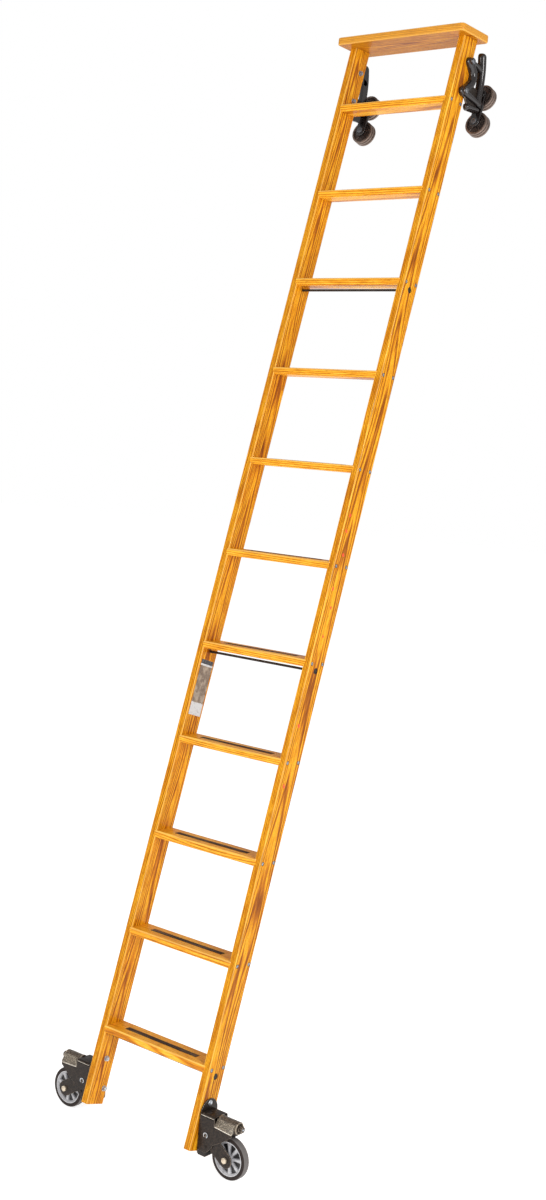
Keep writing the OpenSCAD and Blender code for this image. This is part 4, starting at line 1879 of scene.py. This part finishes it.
    def draw_rod(self) -> None:
        """Makes the draw rod, threaded at its outer end, its washer and its nut.

        On the thread the radius falls and rises with the sine of the angle less the turns run.
        """
        axis = np.array([0.0, HUB_Y, self.barrel_z])
        segments, start, end, pitch = 24, 118.0, 147.0, 1.25
        along = np.linspace(start, end, 117)[:, None]
        angle = np.linspace(0, 2 * np.pi, segments, endpoint=False)[None, :]
        radius = 2.75 + 0.25 * np.sin(2 * np.pi * along / pitch - angle)
        radius[[0, -1]] = 2.2
        points = np.stack(
            [
                np.broadcast_to(along, radius.shape),
                radius * np.cos(angle),
                radius * np.sin(angle),
            ],
            axis=-1,
        ).reshape(-1, 3)
        ring = np.arange(segments)
        caps = [ring[::-1], ring + segments * (len(along) - 1)]
        thread = Skin(points + axis, grid_quads(len(along), segments, False, True), caps=caps)
        head = [(0, 20.1), (6.6, 20.1), (7.5, 20.9), (7.5, 23.3), (6.8, 24.1), (0, 24.1)]
        skin = joined(
            [
                turned(head, Plane.YZ, axis, segments=36),
                rod(23.6, 119.0, 2.95, Plane.YZ, axis),
                thread,
            ]
        )
        self.piece("threaded_draw_rod", skin, "zinc", "draw_rod", "zinc", ["draw_rod"])
        nut = joined(
            [
                disc(self.spring_x[1], 126.5, 13.4, Plane.YZ, axis),
                hexagon(126.5, 135.6, 17.0, Plane.YZ, axis),
                hexagon(136.4, 145.8, 17.0, Plane.YZ, axis),
            ]
        )
        self.piece("draw_rod_nuts", nut, "enamel", "draw_rod", "dark_steel", ["rod_nut"])

    def spring(self) -> None:
        """Makes the spring: a round wire on a helix whose end turns lie close together.

        The place along the barrel grows with a smooth step of the turns, so the first and last
        turn are nearly flat.
        """
        turns, wire, coil = 9.0, 1.35, 10.5
        low, high = self.spring_x[0] + wire + 0.2, self.spring_x[1] - wire - 0.2
        share = np.linspace(0, 1, 260)
        angle = share * turns * 2 * np.pi
        closed_end = 0.11
        run = np.clip((share - closed_end) / (1 - 2 * closed_end), 0, 1)
        pack = 2.2 * wire
        along = low + pack * np.minimum(share / closed_end, 1) * 0.5
        along = along + (high - low - pack) * run
        along = along + pack * np.clip((share - 1 + closed_end) / closed_end, 0, 1) * 0.5
        path = np.stack(
            [along, HUB_Y + coil * np.cos(angle), self.barrel_z + coil * np.sin(angle)], axis=1
        )
        skin = swept(path, oval(wire, wire, 2.0, 10), (1, 0, 0))
        coil_spring = self.piece("coil_spring", skin, "wire", "ladder", "spring", ["spring"])
        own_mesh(coil_spring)


@dataclass
class FootHardware:
    """Pins, bolts and rubber of both foot fixtures, which the ladder's body carries."""

    finishes: Finishes
    pivot: tuple[float, float] = PIVOT
    clip_y: float = 44.9

    def build(self) -> None:
        """Makes and dresses every piece."""
        dress(("brake_shoes", "rubber_feet"), self.finishes.rubber)
        dress(("stop_pins",), self.finishes.enamel)
        pins, clips, bolts = [], [], []
        for side in Side:
            pins.append(in_foot_frame(self.pin(), side))
            clips.append(in_foot_frame(self.clip(), side))
            for z in PLATE_BOLT_Z:
                centre = (0.0, PLATE_Y, z)
                bolt = joined([bolt_head(PLATE_T, centre), bolt_and_nut(PLATE_T, centre)])
                bolts.append(in_foot_frame(bolt, side))
        make_piece(
            "headed_pivot_pins",
            joined(pins),
            self.finishes.enamel,
            "ladder",
            ["pivot_pins"],
        )
        make_piece("pivot_clips", joined(clips), self.finishes.zinc, "ladder")
        make_piece(
            "plate_carriage_bolts",
            joined(bolts),
            self.finishes.zinc,
            "ladder",
            ["plate_bolts"],
        )

    def pin(self) -> Skin:
        """Pivot pin with a head behind, in the foot frame."""
        centre = (self.pivot[0], 0, self.pivot[1])
        head = [(0, 110.0), (6.6, 110.0), (8.0, 109.0), (8.0, 107.0), (0, 107.0)]
        return joined(
            [rod(42.0, 107.5, 4.9, Plane.XZ, centre), turned(head, Plane.XZ, centre, segments=36)]
        )

    def clip(self) -> Skin:
        """Open spring clip in front of the pin: a flat wire on an arc that is open at the bottom.

        Returns:
            The clip in the foot frame.
        """
        turn = np.linspace(-0.30 * np.pi, 1.30 * np.pi, 40)
        path = np.stack(
            [
                self.pivot[0] + 7.0 * np.cos(turn),
                np.full_like(turn, self.clip_y),
                self.pivot[1] + 7.0 * np.sin(turn),
            ],
            axis=1,
        )
        wire = swept(path, oval(1.7, 0.8, 3.0, 12), (0, 1, 0))
        wire.wear = np.full(len(wire.points), 0.6)
        return wire


@dataclass
class RailFixture:
    """Cast bracket and two rollers that run on the rail, at the top of one stile."""

    finishes: Finishes
    side: Side
    strap_n: float = STRAP_N
    strap_u: tuple[float, float] = STRAP_U
    roller_x: float = ROLLER_X
    roller_n: float = 186.0
    roller_half: float = 14.0
    roller_r: float = 40.0
    rim: float = 7.0
    dish: float = 5.0
    roller_mid: float = ROLLER_MID
    pitch: float = ROLLER_PITCH
    bracket_t: float = BRACKET_T

    def build(self) -> None:
        """Makes and dresses every piece."""
        self.bracket()
        self.carrier()
        for name, sign in (("upper", 1), ("lower", -1)):
            self.roller(name, self.roller_mid + sign * self.pitch / 2)

    def bar(
        self, knots: Sequence[Sequence[float]], width: Sequence[float] | float, height: float
    ) -> Skin:
        """Cast bar that follows knots (n, u) on the stile's outer face.

        Args:
            knots: points that the bar's middle passes through.
            width: half width, or half width at each knot.
            height: height of its dome.

        Returns:
            The bar.
        """
        steps = 8
        flat = smooth_path(knots, steps)
        path = np.column_stack([np.full(len(flat), 0.05), flat])
        if np.ndim(width):
            at = np.linspace(0, 1, len(flat))
            width = np.interp(at, np.linspace(0, 1, len(width)), width)
        return cast_bar(path, width, height, (1, 0, 0))

    def bracket(self) -> None:
        """Makes the bracket: bowed strap, foot bar, finger, link and lug, domed, on a web."""
        n, (low, high) = self.strap_n, self.strap_u
        top = self.bracket_t - 0.1
        foot = (144.0, 3502.0)
        lug = (146.0, 3479.0)
        web = rounded_outline([(n, low), (86, 3540), (138, 3540), foot, lug, (92, 3463)], 1.5, 3)
        tie = rounded_outline([(140, 3489.5), (160, 3489.5), (160, 3514.5), (140, 3514.5)], 1.5, 3)
        skins = [
            self.bar(
                [(n, low), (71, 3519), (86, 3545), (83, 3574), (n, high)],
                [15, 14, 13.6, 13.4, 14.6],
                top,
            ),
            self.bar([(n, low), (98, low + 2), foot], [14, 12.6, 13.4], top * 0.92),
            self.bar(
                [foot, (139.6, 3540), (134, 3578), (125, 3614), (112, 3648)],
                [14, 13.4, 13.6, 14, 14.4],
                top,
            ),
            self.bar([(n, high), (86, high + 6), (124, high + 5)], [10.5, 9.2, 9.2], top * 0.85),
            self.bar([(92, 3463), (119, 3471), lug], [11, 10.4, 10.4], top * 0.9),
            slab(tie, 0.2, top * 0.85, 2.5, Plane.YZ),
        ]
        eye = [(0, 0.0), (11.6, 0.0), (11.6, top - 1.2), (10.4, top), (0, top)]
        for u in self.strap_u:
            skins.append(turned(eye, Plane.YZ, (0, n, u), segments=36, worn=[0, 0, 0.6, 0.6, 0]))
        self.finished(
            "cast_bracket",
            joined(skins),
            "casting",
            "ladder",
            [f"top_bracket_{self.side.word}"],
        )
        self.finished(
            "bracket_web", slab(web, 3.0, 9.0, 2.0, Plane.YZ), "enamel", "ladder", []
        )

    def finished(
        self, name: str, skin: Skin, look: str, body: str, nodes: Sequence[str]
    ) -> None:
        """Makes a piece of this side from a skin in the plane frame."""
        make_piece(
            f"{name}_{self.side.word}",
            in_plane_frame(skin, self.side),
            getattr(self.finishes, look),
            body,
            nodes,
        )

    def carrier(self) -> None:
        """Makes the plate that holds both axles, with its bosses."""
        low, high = (self.roller_mid - self.pitch / 2, self.roller_mid + self.pitch / 2)
        outline = capsule_outline((self.roller_x, low), (self.roller_x, high), 18.0)
        near = self.roller_n - self.roller_half
        skins = [slab(outline, 160.0, 170.0, 2.6, Plane.XZ, steps=4)]
        for u in (low, high):
            boss = [(6.0, 160.5), (14.0, 160.5), (14.0, 159.6), (13.4, 159.0), (6.0, 159.0)]
            collar = [
                (6.0, 169.0), (14.5, 169.0), (12.4, 171.0), (12.4, near - 0.3), (6.0, near - 0.3)
            ]
            axis = (self.roller_x, 0, u)
            skins.append(turned(boss, Plane.XZ, axis, closed=True, segments=36))
            skins.append(turned(collar, Plane.XZ, axis, closed=True, segments=36))
        self.finished(
            "roller_plate",
            joined(skins),
            "casting",
            "ladder",
            [f"roller_carrier_{self.side.word}"],
        )

    def roller(self, name: str, u: float) -> None:
        """Makes one roller: a wheel with two grooves round it and five ribs in each dish.

        Args:
            name: upper or lower.
            u: height of its axis up the slope.
        """
        half, r, hub = self.roller_half, self.roller_r, 12.0
        inner = r - self.rim
        floor = half - self.dish
        side = [
            (6.05, half),
            (hub - 0.8, half),
            (hub, half - 0.8),
            (hub + 1.2, floor),
            (inner - 1.5, floor),
            (inner, half - 0.8),
            (inner + 0.8, half),
            (r - 1.6, half),
            (r - 0.5, half - 0.5),
            (r, half - 1.8),
        ]
        cut = r - 1.4
        groove = [(r, 7.6), (cut, 6.4), (cut, 4.6), (r, 3.4)]
        tread = groove + [(radius, -place) for radius, place in reversed(groove)]
        mirrored = [(radius, -place) for radius, place in reversed(side)]
        worn_side = [0.2, 0.4, 0.4, 0, 0, 0.5, 0.8, 0.7, 1, 1]
        profile = side + tread + mirrored
        worn = worn_side + [1, 0, 0, 1, 1, 0, 0, 1] + worn_side[::-1]
        axis = (self.roller_x, self.roller_n, u)
        skins = [turned(profile, Plane.XZ, axis, closed=True, segments=84, worn=worn)]
        for k in range(5):
            angle = 2 * math.pi * k / 5 + 0.3
            reach = np.linspace(hub - 1, inner + 0.5, 8)
            for sign in (1, -1):
                path = np.stack(
                    [
                        axis[0] + reach * math.cos(angle),
                        np.full_like(reach, axis[1] + sign * floor),
                        axis[2] + reach * math.sin(angle),
                    ],
                    axis=1,
                )
                rib = swept(path, oval(2.4, 3.6, 2.4, 12), (0, 1, 0))
                rib.wear = np.full(len(rib.points), 0.5)
                skins.append(rib)
        body = f"roller_{name}_{self.side.word}"
        skin = in_plane_frame(joined(skins), self.side)
        make_piece(f"ribbed_{body}", skin, self.finishes.roller, body, [body])


@dataclass
class RailHardware:
    """Bolts of both rail fixtures."""

    finishes: Finishes

    def build(self) -> None:
        """Makes the bracket bolts and the rollers' axle bolts."""
        heads, bolts, axles = [], [], []
        for side in Side:
            for u in STRAP_U:
                centre = (0.0, STRAP_N, u)
                heads.append(in_plane_frame(bolt_head(BRACKET_T, centre), side))
                bolts.append(in_plane_frame(bolt_and_nut(BRACKET_T, centre), side))
            for u in ROLLER_U:
                axis = (ROLLER_X, 0, u)
                skin = joined(
                    [
                        rod(156.0, 199.0, 5.95, Plane.XZ, axis),
                        hexagon(155.0, 159.1, 19.0, Plane.XZ, axis),
                        disc(195.3, 199.0, 11.0, Plane.XZ, axis),
                    ]
                )
                axles.append(in_plane_frame(skin, side))
        make_piece("bracket_bolt_heads", joined(heads), self.finishes.screw, "ladder")
        make_piece(
            "bracket_carriage_bolts",
            joined(bolts),
            self.finishes.slotted,
            "ladder",
            ["bracket_bolts"],
        )
        make_piece(
            "roller_axle_bolts",
            joined(axles),
            self.finishes.screw,
            "ladder",
            ["roller_axles"],
        )


# ---------- studio ----------


@dataclass
class Studio:
    """Floor, lights, surroundings and camera."""

    eye: tuple[float, float, float] = (3.0185, -3.9591, 2.0690)
    yaw: float = 0.6616
    pitch: float = 0.0785
    roll: float = 0.0938
    lens: float = 46.13
    floor_r: float = 60.0

    def build(self) -> None:
        """Sets the whole studio up."""
        self.floor()
        self.lights()
        self.surroundings()
        self.camera()

    def floor(self) -> None:
        """Makes the floor: a flat disc of rings that widen outwards."""
        rings = self.floor_r * np.linspace(0, 1, 12) ** 2
        profile = [(float(r) / MM, 0.0) for r in rings]
        skin = turned(profile, Plane.XY, segments=96)
        mesh = bpy.data.meshes.new("studio_floor")
        mesh.from_pydata((skin.points * MM).tolist(), [], skin.quads.tolist())
        mesh.materials.append(StudioFloor("studio_floor").make())
        floor = bpy.data.objects.new("studio_floor", mesh)
        bpy.context.scene.collection.objects.link(floor)
        floor.location.z = -0.0005

    def soft_box(
        self,
        name: str,
        place: Sequence[float],
        aim: Sequence[float],
        size: tuple[float, float],
        power: float,
    ) -> None:
        """Adds a soft box.

        Args:
            name: its name.
            place: where it stands.
            aim: point that it faces.
            size: its width and height.
            power: its power in watts.
        """
        data = bpy.data.lights.new(name, "AREA")
        data.shape = "RECTANGLE"
        data.size, data.size_y = size
        data.energy = power
        light = bpy.data.objects.new(name, data)
        heading = Vector(np.asarray(aim, float) - np.asarray(place, float))
        light.location = place
        light.rotation_euler = heading.to_track_quat("-Z", "Y").to_euler()
        bpy.context.scene.collection.objects.link(light)

    def lights(self) -> None:
        """Adds the main light at the right and a weaker one at the front."""
        self.soft_box("main_soft_box", (4.8, -1.9, 3.4), (0, 0, 1.8), (1.2, 3.4), 170)
        self.soft_box("front_soft_box", (-0.6, -5.4, 2.6), (0, 0, 1.8), (1.4, 3.4), 90)

    def surroundings(self) -> None:
        """Sets even white surroundings, brighter where the camera looks straight at them."""
        world = bpy.data.worlds.new("studio_white")
        bpy.context.scene.world = world
        world.use_nodes = True
        tree = world.node_tree
        tree.nodes.clear()
        path = tree.nodes.new("ShaderNodeLightPath")
        lit = tree.nodes.new("ShaderNodeBackground")
        lit.inputs["Strength"].default_value = 0.52
        lit.inputs["Color"].default_value = (1.0, 1.0, 1.0, 1.0)
        seen = tree.nodes.new("ShaderNodeBackground")
        seen.inputs["Strength"].default_value = 1.0
        seen.inputs["Color"].default_value = (1.0, 1.0, 1.0, 1.0)
        mix = tree.nodes.new("ShaderNodeMixShader")
        out = tree.nodes.new("ShaderNodeOutputWorld")
        tree.links.new(path.outputs["Is Camera Ray"], mix.inputs[0])
        tree.links.new(lit.outputs[0], mix.inputs[1])
        tree.links.new(seen.outputs[0], mix.inputs[2])
        tree.links.new(mix.outputs[0], out.inputs["Surface"])
        bpy.context.scene.view_settings.view_transform = "Standard"
        bpy.context.scene.view_settings.look = "None"

    def camera(self) -> None:
        """Adds the camera: its axes come from its yaw, its downward pitch and its roll."""
        ahead = np.array(
            [
                -math.sin(self.yaw) * math.cos(self.pitch),
                math.cos(self.yaw) * math.cos(self.pitch),
                -math.sin(self.pitch),
            ]
        )
        level = np.array([math.cos(self.yaw), math.sin(self.yaw), 0.0])
        above = np.cross(level, ahead)
        right = math.cos(self.roll) * level + math.sin(self.roll) * above
        up = -math.sin(self.roll) * level + math.cos(self.roll) * above
        data = bpy.data.cameras.new("camera")
        data.lens = self.lens
        data.sensor_width = 36.0
        data.clip_start = 0.05
        data.clip_end = 200.0
        camera = bpy.data.objects.new("camera", data)
        turn = Matrix(np.column_stack([right, up, -ahead]).tolist())
        camera.matrix_world = Matrix.Translation(self.eye) @ turn.to_4x4()
        bpy.context.scene.collection.objects.link(camera)
        bpy.context.scene.camera = camera


def main() -> None:
    """Builds the ladder and the studio."""
    logging.basicConfig(level=logging.INFO, format="%(name)s: %(message)s")
    finishes = Finishes()
    Woodwork(finishes).build()
    for side in Side:
        Wheel(finishes, side).build()
        FootFixture(finishes, side).build()
        RailFixture(finishes, side).build()
    FootHardware(finishes).build()
    RailHardware(finishes).build()
    Studio().build()


if __name__ == "__main__":
    main()
